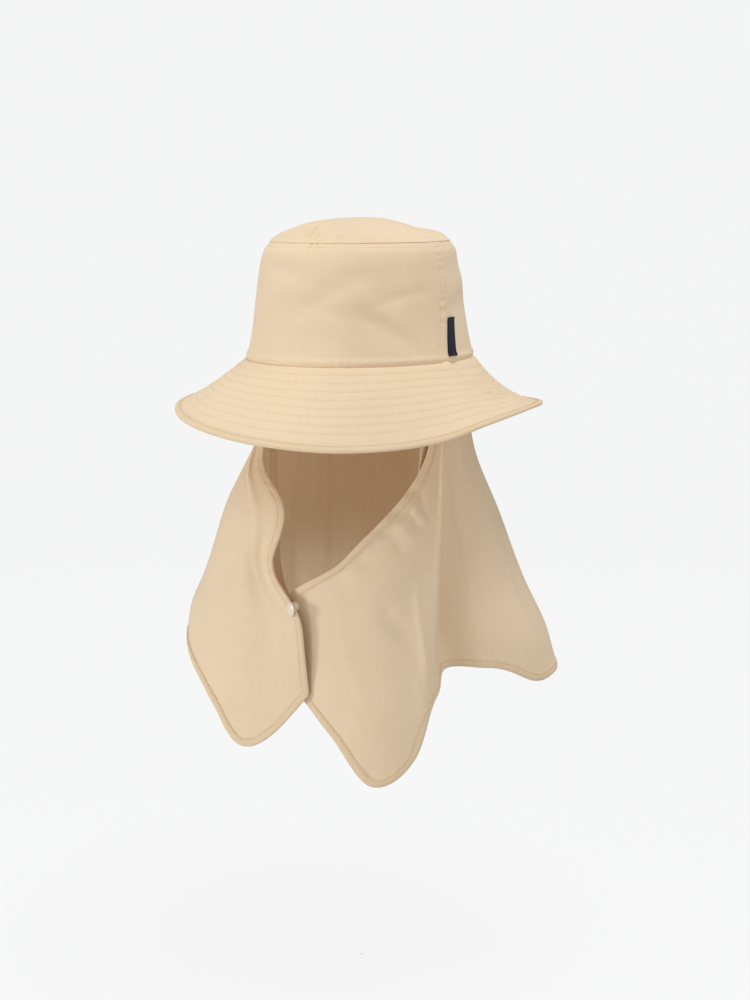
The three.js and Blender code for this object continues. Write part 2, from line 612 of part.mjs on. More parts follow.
// The strap hangs in a loop from both sides, its ends sewn in against the inside of the cape
function chinStrap() {
  const end = sewnInPoint(STRAP_DEG, CAPE_CLOTH + SEW_GAP + STRAP_THICKNESS / 2);
  const half = STRAP_ROUTE.map((row) => new THREE.Vector3(
    (HEAD_WIDTH / 2) * row.across, -(HEAD_LENGTH / 2) * row.along, -STRAP_DROP * row.drop));
  const bottom = new THREE.Vector3(0, half[half.length - 1].y, -STRAP_DROP);
  const mirrored = (p) => new THREE.Vector3(-p.x, p.y, p.z);
  const route = [end, ...half];
  const loop = [...route, bottom, ...route.map(mirrored).reverse()];
  const curve = new THREE.CatmullRomCurve3(loop, false, 'centripetal');
  const beside = sewnInPoint(STRAP_DEG + 1, 0).sub(sewnInPoint(STRAP_DEG - 1, 0));
  const seatTwist = THREE.MathUtils.radToDeg(Math.atan(beside.x / beside.y));
  const twists = [seatTwist, ...STRAP_ROUTE.map((row) => row.twist)];
  const allTwists = [...twists, 0, ...twists.map((twist) => -twist).reverse()];
  const knots = allTwists.map((_, i) => i / (allTwists.length - 1));
  const rings = range(STRAP_STEPS + 1).map((i) => {
    const t = i / STRAP_STEPS;
    const place = curve.getPoint(t);
    const along = curve.getTangent(t);
    const twist = radians(smooth(t, knots, allTwists));
    const outward = new THREE.Vector3(Math.sin(twist), Math.cos(twist), 0).cross(along).normalize();
    const across = along.clone().cross(outward).multiplyScalar(STRAP_WIDTH / 2);
    const through = outward.multiplyScalar(STRAP_THICKNESS / 2);
    return [[1, 1], [-1, 1], [-1, -1], [1, -1]].map(([x, y]) => (
      place.clone().addScaledVector(across, x).addScaledVector(through, y)));
  });
  return sweptGeometry(rings, false);
}

// The bare tab lies on the crown just behind the wearer's left seam
function sideLabel() {
  const perMm = THREE.MathUtils.radToDeg(2 / HEAD_LENGTH);
  const from = LEFT_SEAM - (LABEL_BACK + LABEL_WIDTH) * perMm;
  const rise = (CROWN_CLOTH + LABEL_THICKNESS) / 2 + SEW_GAP;
  const [acrossSteps, upSteps] = LABEL_STEPS;
  const place = (i, j) => {
    const deg = from + (LABEL_WIDTH * perMm * i) / acrossSteps - (LABEL_LEAN * j) / upSteps;
    return crownPoint(deg, (LABEL_RISE + (LABEL_HEIGHT * j) / upSteps) / CROWN_HEIGHT);
  };
  const grid = range(acrossSteps + 1).map((i) => range(upSteps + 1).map((j) => place(i, j)));
  const normals = gridNormals(grid, false, -1);
  const raised = grid.map((line, i) => line.map((p, j) => p.clone().addScaledVector(normals[i][j], rise)));
  return wallGeometry(raised, { wraps: false, side: -1, thickness: LABEL_THICKNESS });
}

// Points spread evenly over one four-cornered face of a grid
function faceSamples(grid, i, j) {
  const last = SHEET_SAMPLES - 1;
  return range(SHEET_SAMPLES ** 2).map((k) => {
    const u = (k % SHEET_SAMPLES) / last;
    const upper = grid[i][j].clone().lerp(grid[i + 1][j], u);
    const lower = grid[i][j + 1].clone().lerp(grid[i + 1][j + 1], u);
    return upper.lerp(lower, Math.floor(k / SHEET_SAMPLES) / last);
  });
}

// How low and how high a sheet's middle lies about a place, along its outward line and within a radius
function sheetLevels(grid, place, radius) {
  const levels = [];
  for (let i = 0; i < grid.length - 1; i += 1) {
    for (let j = 0; j < grid[0].length - 1; j += 1) {
      faceSamples(grid, i, j).forEach((p) => {
        const away = p.sub(place.middle);
        const level = away.dot(place.outward);
        if (away.addScaledVector(place.outward, -level).length() < radius) levels.push(level);
      });
    }
  }
  return { low: Math.min(...levels), high: Math.max(...levels) };
}

// Where the snap joins the two flaps: its middle on the outer one, and the levels that its halves seat at.
// Both halves clear the outer flap's edge tape.
function snapPlace() {
  const grid = capeGrid();
  const down = (at) => (SNAP_DROP + LAP_SHARE) / (capeLine(at).hemDrop + LAP_SHARE);
  const beside = SNAP_AT + SNAP_NUDGE;
  const middle = capePoint(SNAP_AT, down(SNAP_AT));
  const across = capePoint(beside, down(beside)).sub(middle);
  const below = capePoint(SNAP_AT, down(SNAP_AT) + SNAP_NUDGE).sub(middle);
  const place = { middle, outward: below.cross(across).normalize() };
  const flap = Math.round(grid.length * FLAP_SHARE);
  const outer = sheetLevels(grid.slice(-flap), place, SNAP_WIDTH / 2);
  const inner = sheetLevels(grid.slice(0, flap), place, SNAP_WIDTH / 2);
  const seat = CAPE_CLOTH / 2 + SEW_GAP;
  const overTape = seat + TAPE + SEW_GAP;
  return { ...place, cap: outer.high + overTape, top: outer.low - overTape, low: inner.high + seat };
}

// A turned button, its axis along the place's outward line, from low to high along it
function snapGeometry(place, profile) {
  const geometry = new THREE.LatheGeometry(profile.map(([r, h]) => new THREE.Vector2(r, h)), SNAP_SIDES);
  const turn = new THREE.Quaternion().setFromUnitVectors(new THREE.Vector3(0, 1, 0), place.outward);
  return geometry.applyQuaternion(turn).translate(place.middle.x, place.middle.y, place.middle.z);
}

function snapCap(place) {
  const side = CAP_PROFILE.map(({ inwards, up }) => [SNAP_WIDTH / 2 - inwards, place.cap + up]);
  return snapGeometry(place, [[0, place.cap], ...side, [0, place.cap + SNAP_CAP_HEIGHT]]);
}

// The socket fills the space between the two flaps
function snapSocket(place) {
  const r = SOCKET_WIDTH / 2;
  const end = r - SOCKET_BEVEL;
  const middle = (place.top + place.low) / 2;
  return snapGeometry(place, [
    [0, place.low], [end, place.low], [r, middle], [end, place.top], [0, place.top],
  ]);
}

// Assembly

const material = (color, roughness) => new THREE.MeshStandardMaterial({ color, roughness, metalness: 0 });
const cloth = material(CLOTH_COLOUR, 0.85);
const tape = material(BINDING_COLOUR, 0.8);
const labelCloth = material(LABEL_COLOUR, 0.7);
const snapPlastic = material(SNAP_COLOUR, 0.4);

const hat = new THREE.Group();
function addPiece(name, geometry, look) {
  const mesh = new THREE.Mesh(geometry, look);
  mesh.name = name;
  hat.add(mesh);
}

const snap = snapPlace();
addPiece('crown_tip', crownTip(), cloth);
addPiece('crown_front_panel', crownPanel(LEFT_SEAM, RIGHT_SEAM + 360, -SEAM_LEAN), cloth);
addPiece('crown_back_panel', crownPanel(RIGHT_SEAM, LEFT_SEAM, SEAM_LEAN), cloth);
addPiece('brim', brim(), cloth);
addPiece('brim_binding', brimBinding(), tape);
addPiece('neck_cape', neckCape(), cloth);
addPiece('cape_binding', capeBinding(), tape);
addPiece('chin_strap', chinStrap(), tape);
addPiece('side_label', sideLabel(), labelCloth);
addPiece('snap_cap', snapCap(snap), snapPlastic);
addPiece('snap_socket', snapSocket(snap), snapPlastic);

export default hat;
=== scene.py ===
# %% [markdown]
# # A cloth sun hat with a neck cape
# The real hat is sewn from one light plain-woven cloth: a flat tip, two side panels, a quilted brim and a
# long cape that hangs from the brim seam and closes with a press snap under the chin. Cloth has no
# thickness to speak of, so what the eye reads is its drape, its seams and its stitches.
#
# Every surface here is a function of two numbers, such as degrees round the head and the share of the way
# down. A grid primitive is bent onto that function, and the same function then tells the tape, the
# stitches and the trims where they lie, so that nothing floats and nothing sinks in.

import math

import bpy
import numpy as np
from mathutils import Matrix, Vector


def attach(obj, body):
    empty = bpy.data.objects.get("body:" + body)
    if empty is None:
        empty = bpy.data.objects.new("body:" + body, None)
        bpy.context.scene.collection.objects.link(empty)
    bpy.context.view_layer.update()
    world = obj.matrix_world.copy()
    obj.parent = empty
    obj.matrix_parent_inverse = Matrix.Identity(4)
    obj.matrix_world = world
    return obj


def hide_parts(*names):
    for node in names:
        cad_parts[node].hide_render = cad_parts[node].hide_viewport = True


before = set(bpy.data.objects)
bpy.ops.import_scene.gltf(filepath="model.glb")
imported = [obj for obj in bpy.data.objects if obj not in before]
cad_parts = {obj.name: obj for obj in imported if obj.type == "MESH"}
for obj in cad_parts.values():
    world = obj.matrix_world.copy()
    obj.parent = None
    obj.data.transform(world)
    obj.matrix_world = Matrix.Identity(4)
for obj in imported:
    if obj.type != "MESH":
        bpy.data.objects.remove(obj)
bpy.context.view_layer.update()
print("CAD nodes:", ", ".join(sorted(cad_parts)))

# %% [markdown]
# ## The camera
# The photograph was taken from a little above the hat and from its left front. A long lens at 1.5 m keeps
# the perspective as mild as it is there. The camera is placed first, so that every piece can be judged
# from where the photograph was taken.

# %% Place the camera
VIEW_AZIMUTH = 32
VIEW_ELEVATION = 9.85
VIEW_DISTANCE = 1.5
VIEW_TARGET = Vector((0.00979, 0.00612, -0.12087))
FOCAL_LENGTH_MM = 65.149
SENSOR_MM = 36


def place_camera():
    """Stand the camera round and above the target, looking at it."""
    azimuth = math.radians(VIEW_AZIMUTH)
    elevation = math.radians(VIEW_ELEVATION)
    level = math.cos(elevation)
    back = Vector((math.sin(azimuth) * level, -math.cos(azimuth) * level, math.sin(elevation)))
    bpy.ops.object.camera_add(location=VIEW_TARGET + back * VIEW_DISTANCE)
    camera = bpy.context.object
    camera.rotation_euler = (-back).to_track_quat("-Z", "Y").to_euler()
    camera.data.lens = FOCAL_LENGTH_MM
    camera.data.sensor_width = SENSOR_MM
    camera.data.clip_start = 0.05
    camera.data.clip_end = 50
    bpy.context.scene.camera = camera
    return camera


camera = place_camera()
print("Camera at", [round(v, 4) for v in camera.location])

# %% [markdown]
# ## Sizes
# The named sizes are those of the part's own source, in metres. A head of 58 cm carries the hat, and the
# rest follows from that. The short tables hold shares of these sizes, a row for each section or fold. The
# fit is a little closer here than in the solids: the tape is thinner, two rows of the cape's table sit
# further out at the cheek, and the hem is trimmed beside the flap's lower corner.

# %% Name the sizes
MM = 0.001
HEAD_WIDTH = 174 * MM
HEAD_LENGTH = 204 * MM
CROWN_HEIGHT = 92 * MM
DOME_HEIGHT = 17.5 * MM
BRIM_REACH = 56 * MM
BRIM_DROP = 56 * MM
CAPE_DROP = 328 * MM
CAPE_REACH = 150 * MM
CAPE_LAP = 3 * MM
CROWN_CLOTH = 1.5 * MM
BRIM_CLOTH = 1.5 * MM
CAPE_CLOTH = 1.2 * MM
TAPE = 0.9 * MM
SEW_GAP = 0.3 * MM
BINDING_WIDTH = 5 * MM
LEFT_SEAM = 279.5
RIGHT_SEAM = 80.5
SEAM_LEAN = 8.5


def table(names, *rows):
    """A short table with named columns."""
    return dict(zip(names.split(), np.array(rows, float).T))


CROWN_PROFILE = table(
    "height width",
    (0.00, 1.000),
    (0.10, 0.978),
    (0.22, 0.953),
    (0.38, 0.931),
    (0.56, 0.909),
    (0.75, 0.883),
    (0.87, 0.860),
    (0.94, 0.834),
    (1.00, 0.787),
)
TIP_PROFILE = table(
    "out rise",
    (0.00, 1.00),
    (0.25, 0.95),
    (0.44, 0.86),
    (0.60, 0.75),
    (0.72, 0.63),
    (0.88, 0.35),
    (1.00, 0.00),
)
CROWN_DENTS = table(
    "deg at wide tall tilt depth",
    (352, 0.50, 24, 0.10, -0.006, -0.022),
    (318, 0.50, 16, 0.09, 0.010, 0.014),
    (12, 0.78, 18, 0.08, 0.004, -0.014),
    (250, 0.45, 20, 0.14, 0.000, -0.016),
    (120, 0.55, 22, 0.12, 0.005, -0.016),
    (185, 0.60, 26, 0.10, -0.004, -0.014),
    (244, 0.82, 24, 0.14, 0.000, -0.018),
)
TIP_DENTS = table(
    "deg at wide tall tilt depth",
    (60, 0.78, 22, 0.16, 0, -0.12),
    (25, 0.62, 16, 0.18, 0, 0.07),
    (268, 0.80, 20, 0.14, 0, -0.13),
    (190, 0.66, 40, 0.22, 0, -0.07),
    (238, 0.74, 52, 0.30, 0, -0.22),
)
BRIM_PROFILE = table(
    "deg reach drop bow",
    (0, 1.00, 0.97, 0.00),
    (30, 1.02, 0.83, -0.02),
    (58, 1.04, 0.71, -0.05),
    (90, 1.03, 0.68, -0.04),
    (122, 1.02, 0.73, -0.04),
    (150, 1.00, 0.82, -0.02),
    (180, 1.00, 0.88, -0.02),
    (212, 1.00, 0.80, -0.08),
    (238, 1.03, 0.71, -0.20),
    (262, 1.02, 0.67, -0.15),
    (283, 0.99, 0.78, -0.05),
    (300, 1.00, 0.94, 0.00),
    (330, 1.00, 1.04, 0.00),
    (360, 1.00, 0.97, 0.00),
)
CAPE_LEVELS = ("cheek", "jaw", "throat", "chest", "hem")
CAPE_LINES = table(
    "at seam cheek_deg cheek jaw_deg jaw throat_deg throat chest_deg chest hem_deg hem drop",
    (0.000, 282, 290, 0.555, 320, 0.590, 368, 0.612, 373, 0.615, 374, 0.618, 0.765),
    (0.040, 280, 287, 0.565, 312, 0.602, 355, 0.620, 356, 0.635, 357, 0.645, 0.805),
    (0.085, 278, 286, 0.575, 307, 0.630, 339, 0.650, 339, 0.700, 340, 0.725, 0.885),
    (0.135, 276, 285, 0.585, 301, 0.655, 323, 0.700, 323, 0.755, 323, 0.785, 1.000),
    (0.180, 274, 284, 0.590, 295, 0.670, 308, 0.725, 308, 0.775, 307, 0.795, 0.935),
    (0.215, 271, 282, 0.590, 290, 0.675, 296, 0.735, 299, 0.765, 298, 0.775, 0.800),
    (0.240, 267, 277, 0.565, 283, 0.585, 287, 0.610, 288, 0.620, 285.5, 0.650, 0.750),
    (0.275, 262, 268, 0.575, 271, 0.640, 273, 0.740, 273, 0.800, 272, 0.820, 0.745),
    (0.340, 252, 255, 0.592, 257, 0.730, 259, 0.880, 259, 0.990, 259, 1.020, 0.790),
    (0.420, 238, 238, 0.622, 239, 0.755, 240, 0.910, 240, 1.020, 240, 1.085, 0.790),
    (0.540, 206, 206, 0.660, 205, 0.750, 205, 0.840, 205, 0.920, 205, 0.940, 0.790),
    (0.660, 172, 172, 0.690, 172, 0.770, 172, 0.840, 172, 0.920, 172, 0.940, 0.780),
    (0.770, 142, 140, 0.690, 138, 0.790, 134, 0.900, 132, 0.980, 132, 1.020, 0.760),
    (0.850, 116, 110, 0.660, 104, 0.800, 98, 0.940, 96, 1.010, 96, 1.040, 0.730),
    (0.905, 100, 88, 0.650, 78, 0.790, 70, 0.915, 68, 0.980, 68, 1.005, 0.735),
    (0.945, 89, 77, 0.635, 56, 0.740, 48, 0.800, 46, 0.855, 44, 0.885, 0.828),
    (0.970, 81, 70, 0.600, 32, 0.670, 26, 0.710, 26, 0.755, 26, 0.785, 0.950),
    (0.988, 78, 66, 0.570, 22, 0.620, 11, 0.645, 9, 0.675, 9, 0.705, 0.900),
    (1.000, 76, 61, 0.540, 15, 0.580, -4, 0.682, -6.5, 0.698, -8, 0.683, 0.795),
)
CHEEK_DROP = 0.243
JAW_DROP = 0.392
THROAT_DROP = 0.578
LAP_SHARE = CAPE_LAP / CAPE_DROP
FLAP_TRIM = 0.018
FLAP_TRIM_AT = 0.959
FLAP_TRIM_WIDE = 0.010
CAPE_FOLDS = table(
    "at drop wide tall out turn",
    (0.000, 0.490, 0.040, 0.05, 0.000, -7),
    (1.000, 0.325, 0.030, 0.06, -0.012, -12),
    (1.000, 0.492, 0.035, 0.075, -0.012, 16),
    (0.305, 0.330, 0.018, 0.16, 0.016, 0),
    (0.375, 0.620, 0.022, 0.20, -0.022, 0),
    (0.480, 0.800, 0.026, 0.30, -0.060, 0),
    (0.600, 0.800, 0.030, 0.32, -0.055, 0),
    (0.720, 0.800, 0.026, 0.30, -0.060, 0),
    (0.835, 0.700, 0.022, 0.24, -0.030, 0),
)
print("Cape lines:", len(CAPE_LINES["at"]), "rows from the left front edge round to the right one")

# %% [markdown]
# ## Curves through the tables
# A curve that passes smoothly through a table's rows gives the drape between them. It works on whole
# arrays at once, because a sheet of cloth has some fifty thousand points.

# %% Read smooth curves from tables
def pick(values, index):
    """The value at each point's own row."""
    return np.take_along_axis(values, index[..., None], -1)[..., 0]


def smooth(x, places, values):
    """A smooth curve through values at places. Each point may have its own places and values."""
    x = np.asarray(x, float)
    places, values = np.broadcast_arrays(places, values)
    places = np.broadcast_to(places, x.shape + places.shape[-1:])
    values = np.broadcast_to(values, x.shape + values.shape[-1:])
    steps = np.diff(places, axis=-1)
    slopes = np.diff(values, axis=-1) / steps
    weighted = slopes[..., :-1] * steps[..., 1:] + slopes[..., 1:] * steps[..., :-1]
    inner = weighted / (steps[..., :-1] + steps[..., 1:])
    at_rows = np.concatenate([slopes[..., :1], inner, slopes[..., -1:]], -1)
    row = np.clip((x[..., None] >= places).sum(-1) - 1, 0, places.shape[-1] - 2)
    span = pick(steps, row)
    t = np.clip((x - pick(places, row)) / span, 0, 1)
    rise = (3 - 2 * t) * t * t
    leaving = t * (1 - t) ** 2 * pick(at_rows, row) * span
    arriving = t * t * (t - 1) * pick(at_rows, row + 1) * span
    return (1 - rise) * pick(values, row) + rise * pick(values, row + 1) + leaving + arriving


def read(rows, at, name):
    """The smooth curve through a table's named column, against its first column."""
    return smooth(at, next(iter(rows.values())), rows[name])


def bump(x, half):
    """A soft hump, 1 in the middle."""
    return np.exp(-((x / half) ** 2))


def turn_between(deg, other):
    return (deg - other + 540) % 360 - 180


def rows_of(dents):
    """A table's rows, one after another, each with its named values."""
    return [dict(zip(dents, row)) for row in zip(*dents.values())]


def ring(deg, scale, grow, z):
    """Points of the head's oval, scaled and then grown outwards."""
    a = np.radians(deg)
    x = -(HEAD_WIDTH / 2 * scale + grow) * np.sin(a)
    y = -(HEAD_LENGTH / 2 * scale + grow) * np.cos(a)
    return np.stack(np.broadcast_arrays(x, y, z), -1)


print("Half way up, the crown's width is", read(CROWN_PROFILE, 0.5, "width").round(3), "of its foot's")

# %% [markdown]
# ## The four cloth surfaces
# These are the middles of the crown's side, the tip, the brim and the cape, as the part's source has them.
# The finer relief, such as puckers and sewn channels, is added in the next step.

# %% Describe the crown, the tip, the brim and the cape
CROWN_CALM = 0.17
TIP_CALM = 0.28


def dents(rows, deg, at):
    """The sum of a table's soft dents. Tilt makes a dent climb as it goes round."""
    def one(row):
        turn = turn_between(deg, row["deg"])
        off = at - row["at"] - row["tilt"] * turn
        return row["depth"] * bump(turn, row["wide"]) * bump(off, row["tall"])
    return sum(map(one, rows_of(rows)))


def crown_form(deg, share):
    calm = np.clip(np.minimum(share, 1 - share) / CROWN_CALM, 0, 1)
    grow = dents(CROWN_DENTS, deg, share) * calm * CROWN_HEIGHT
    return ring(deg, read(CROWN_PROFILE, share, "width"), grow, CROWN_HEIGHT * share)


def tip_form(deg, out):
    calm = np.clip((1 - out) / TIP_CALM, 0, 1) * np.clip(out / TIP_CALM, 0, 1)
    rise = read(TIP_PROFILE, out, "rise") + dents(TIP_DENTS, deg, out) * calm
    height = CROWN_HEIGHT + CROWN_CLOTH / 2 + SEW_GAP + DOME_HEIGHT * rise
    return ring(deg, out * CROWN_PROFILE["width"][-1], 0, height)


def brim_form(deg, out):
    turn = deg % 360
    reach = read(BRIM_PROFILE, turn, "reach") * BRIM_REACH
    drop = read(BRIM_PROFILE, turn, "drop") * BRIM_DROP
    bow = read(BRIM_PROFILE, turn, "bow") * BRIM_DROP
    return ring(turn, 1, reach * out, -drop * out + 4 * bow * out * (1 - out))


def inside_crown(deg, depth, z):
    """Places level with the brim seam, a depth inside the middle of the crown's cloth."""
    return ring(deg, read(CROWN_PROFILE, CAPE_LAP / CROWN_HEIGHT, "width"), -depth, z)


def cape_seam(deg):
    """Where the cape is sewn in, as degrees and reach about the middle of the head."""
    p = inside_crown(deg, CROWN_CLOTH / 2 + 2 * SEW_GAP + CAPE_CLOTH / 2, 0)
    return np.degrees(np.arctan2(-p[..., 0], -p[..., 1])) % 360, np.hypot(p[..., 0], p[..., 1]) / CAPE_REACH


def hem_at(at):
    """The hem's drop: the table's curve, drawn in a little beside the flap's lower corner."""
    return read(CAPE_LINES, at, "drop") - FLAP_TRIM * bump(at - FLAP_TRIM_AT, FLAP_TRIM_WIDE)


def cape_line(at):
    """The cloth's line at share at of the way round: drops, degrees and reaches, six of each."""
    hem = hem_at(at)
    seam_deg, seam_reach = cape_seam(read(CAPE_LINES, at, "seam"))
    same = np.ones_like(hem)
    heights = (-LAP_SHARE * same, CHEEK_DROP * same, JAW_DROP * same, THROAT_DROP * same)
    drops = np.stack([*heights, (THROAT_DROP + hem) / 2, hem], -1)
    degs = np.stack([seam_deg, *(read(CAPE_LINES, at, level + "_deg") for level in CAPE_LEVELS)], -1)
    reaches = np.stack([seam_reach, *(read(CAPE_LINES, at, level) for level in CAPE_LEVELS)], -1)
    return drops, degs, reaches


def cape_drop(at, down):
    """Drop as a share of CAPE_DROP, where down goes from 0 at the seam to 1 at the hem."""
    return (hem_at(at) + LAP_SHARE) * down - LAP_SHARE


def cape_form(at, down):
    at, down = np.broadcast_arrays(np.clip(at, 0, 1), np.clip(down, 0, 1))
    drops, degs, reaches = cape_line(at)
    drop = cape_drop(at, down)
    reach = smooth(drop, drops, reaches)
    deg = smooth(drop, drops, degs)
    for fold in rows_of(CAPE_FOLDS):
        weight = bump(at - fold["at"], fold["wide"]) * bump(drop - fold["drop"], fold["tall"])
        reach = reach + fold["out"] * weight
        deg = deg + fold["turn"] * weight
    a = np.radians(deg)
    r = reach * CAPE_REACH
    return np.stack([-r * np.sin(a), -r * np.cos(a), -CAPE_DROP * drop], -1)


print("The cape's right front edge ends at", np.round(cape_form(1.0, 1.0), 4))

# %% [markdown]
# ## Relief
# Cloth that is sewn is never smooth: a seam pulls a fine groove, thread gathers small puckers beside it,
# and a quilted brim swells between its rows of stitches. Each piece gets its relief as a height along its
# own normal, and one class holds a piece's form and relief together. A product of uneven waves stands in
# for chance, so that the result is the same each time.

# %% Measure a surface
def unit(vectors):
    return vectors / np.maximum(np.linalg.norm(vectors, axis=-1, keepdims=True), 1e-12)


class Cloth:
    """A surface of two numbers: a form, with relief as a height along the form's outer normal."""

    def __init__(self, form, relief, steps, side):
        self.form = form
        self.relief = relief
        self.steps = steps
        self.side = side

    def slopes(self, a, b):
        """How the form runs along each of its two numbers, per unit."""
        step_a, step_b = self.steps
        along = (self.form(a + step_a, b) - self.form(a - step_a, b)) / (2 * step_a)
        down = (self.form(a, b + step_b) - self.form(a, b - step_b)) / (2 * step_b)
        return along, down

    def normal(self, a, b):
        """Unit normals. The side, 1 or -1, turns them to the cloth's outer face."""
        along, down = self.slopes(a, b)
        return self.side * unit(np.cross(along, down))

    def __call__(self, a, b):
        """Places on the cloth, with its relief."""
        return self.form(a, b) + self.normal(a, b) * np.asarray(self.relief(a, b))[..., None]

    def line(self, a, b, height, face=1):
        """A line a height off the outer face (1) or the inner face (-1), and its normals."""
        normal = self.normal(a, b) * face
        return self(a, b) + normal * height, normal


def wave(s, length, phase=0):
    return np.sin(s / length * 2 * np.pi + phase)


def ripple(s, length):
    """Uneven waves along a length, between -1 and 1."""
    wander = wave(s, 4.3 * length, 0.7) + 0.6 * wave(s, 9.1 * length)
    swell = 0.62 + 0.38 * wave(s, 6.7 * length, 2.1)
    return swell * wave(s, length, 1.9 * wander)


def ridge(x, place, half, height):
    """A soft ridge at a place across x, or a groove where the height is negative."""
    return height * bump(x - place, half)


def puckers(s, length, x, place, half, height):
    """Ripples along s that stay near a place across x."""
    return ridge(x, place, half, height) * ripple(s, length)


print("A ripple 3 mm along is", round(float(ripple(3 * MM, 7 * MM)), 3), "high")

# %% [markdown]
# ## Relief of the crown
# The two side panels meet in a pressed seam at each side, with a row of topstitching on either side of it.
# The tip is sewn in round the top, which leaves a groove and short puckers, and the lowest few millimetres
# swell into a lip over the brim's seam. The creases are the soft dents that handling leaves.

# %% Shape the crown's relief
TOPSTITCH_OFFSET = 3.0 * MM
TOP_ROW = 3.2 * MM
PUCKER_HEIGHT = 0.42 * MM
FOLD_FADE = 7 * MM
TIP_SPREAD = 0.75
MM_PER_DEG = math.pi * (HEAD_WIDTH + HEAD_LENGTH) / 2 / 360
CROWN_CREASES = table(
    "deg0 at0 deg1 at1 wide height",
    (348, 0.460, 317, 0.360, 5.0, -0.72),
    (317, 0.360, 298, 0.170, 6.0, -0.60),
    (322, 0.450, 303, 0.550, 4.5, -0.54),
    (303, 0.550, 288, 0.590, 5.0, -0.60),
    (343, 0.680, 324, 0.740, 6.0, -0.42),
    (18, 0.500, 0, 0.520, 4.5, -0.36),
    (22, 0.760, 4, 0.800, 5.0, -0.36),
    (18, 0.560, 2, 0.670, 5.0, 0.36),
    (335, 0.560, 316, 0.620, 6.0, 0.42),
    (330, 0.220, 305, 0.080, 8.0, 0.48),
    (120, 0.300, 95, 0.500, 6.0, -0.60),
    (150, 0.700, 175, 0.560, 6.0, -0.54),
    (200, 0.300, 226, 0.420, 6.0, -0.54),
    (240, 0.680, 262, 0.560, 6.0, 0.42),
)
TIP_CREASES = table(
    "deg0 at0 deg1 at1 wide height",
    (1, 1.02, 1, 0.76, 4.0, -3.3),
    (355, 1.02, 355, 0.80, 2.2, 2.7),
    (350, 0.99, 333, 0.75, 3.0, 2.1),
    (341, 0.94, 326, 0.80, 3.0, 1.5),
    (346, 0.95, 331, 0.72, 2.6, -1.4),
    (284, 0.78, 258, 0.94, 9.0, -2.6),
    (292, 0.98, 280, 0.70, 3.0, 1.0),
    (60, 0.98, 85, 0.70, 4.0, -1.2),
    (150, 0.96, 175, 0.70, 4.0, -1.2),
    (205, 0.70, 230, 0.94, 4.0, 1.0),
)


def crease(a, b, a0, b0, a1, b1, scale_a, scale_b, half):
    """A soft line between two places of a surface, 1 on the line, with distances taken in metres."""
    run = np.array([(a1 - a0) * scale_a, (b1 - b0) * scale_b])
    length = float(np.hypot(*run))
    x = (a - a0) * scale_a
    y = (b - b0) * scale_b
    along = (x * run[0] + y * run[1]) / length
    off = (x * run[1] - y * run[0]) / length
    beyond = np.maximum(np.maximum(-along, along - length), 0)
    return bump(off, half) * bump(beyond, 0.25 * length)


def creases_round(rows, deg, at, scale_deg, scale_at):
    """The height that a table's creases add to a surface that runs round the head."""
    def one(row):
        turn = turn_between(deg, row["deg0"])
        ends = (0, row["at0"], turn_between(row["deg1"], row["deg0"]), row["at1"])
        return row["height"] * MM * crease(turn, at, *ends, scale_deg, scale_at, row["wide"] * MM)
    return sum(map(one, rows_of(rows)))


def seam_lean(share):
    """How far back, in degrees, a side seam has leaned at a share of the crown's height."""
    return SEAM_LEAN * np.sin(np.clip(share, 0, 1) * math.pi / 2)


def left_seam(share):
    return LEFT_SEAM - seam_lean(share)


def right_seam(share):
    return RIGHT_SEAM + seam_lean(share)


def tip_puckers(round_head, from_seam, shift=0):
    """Short puckers beside the tip's seam, bunched where the crown's fullness is eased in."""
    gathers = np.clip(0.35 + 0.65 * ripple(round_head + 23 * MM, 90 * MM), 0, 1)
    height = 1.5 * PUCKER_HEIGHT
    return gathers * puckers(round_head + shift, 4.6 * MM, from_seam, 3 * MM, half=4 * MM, height=height)


def seam_relief(beside, up):
    """A side seam: a groove, a welt and a stitched channel on either side of it, and puckers."""
    groove = ridge(beside, 0, half=0.8 * MM, height=-0.55 * MM)
    welt = ridge(beside, 0.5 * TOPSTITCH_OFFSET, half=1.2 * MM, height=0.22 * MM)
    channel = ridge(beside, TOPSTITCH_OFFSET, half=0.8 * MM, height=-0.20 * MM)
    return groove + welt + channel + puckers(up, 6.5 * MM, beside, 0, half=5.5 * MM, height=PUCKER_HEIGHT)


def crown_relief(deg, share):
    to_left = np.abs(turn_between(deg, left_seam(share)))
    to_right = np.abs(turn_between(deg, right_seam(share)))
    beside = np.minimum(to_left, to_right) * MM_PER_DEG
    up = share * CROWN_HEIGHT
    from_top = CROWN_HEIGHT - up
    round_head = deg * MM_PER_DEG
    top_channel = ridge(from_top, TOP_ROW, half=0.9 * MM, height=-0.22 * MM)
    top_roll = ridge(from_top, 0, half=1.4 * MM, height=-0.30 * MM)
    top = tip_puckers(round_head, from_top) + top_channel + top_roll
    lip = ridge(up, 2.2 * MM, half=1.9 * MM, height=1.1 * MM)
    base_height = 0.7 * PUCKER_HEIGHT
    base = lip + puckers(round_head + 40 * MM, 8 * MM, up, 3 * MM, half=4 * MM, height=base_height)
    middle = np.sin(np.pi * np.clip(share, 0, 1))
    drape = 0.45 * MM * ripple(round_head + 0.25 * up, 61 * MM) * middle
    folds = creases_round(CROWN_CREASES, deg, share, MM_PER_DEG, CROWN_HEIGHT)
    return seam_relief(beside, up) + top + base + drape + folds


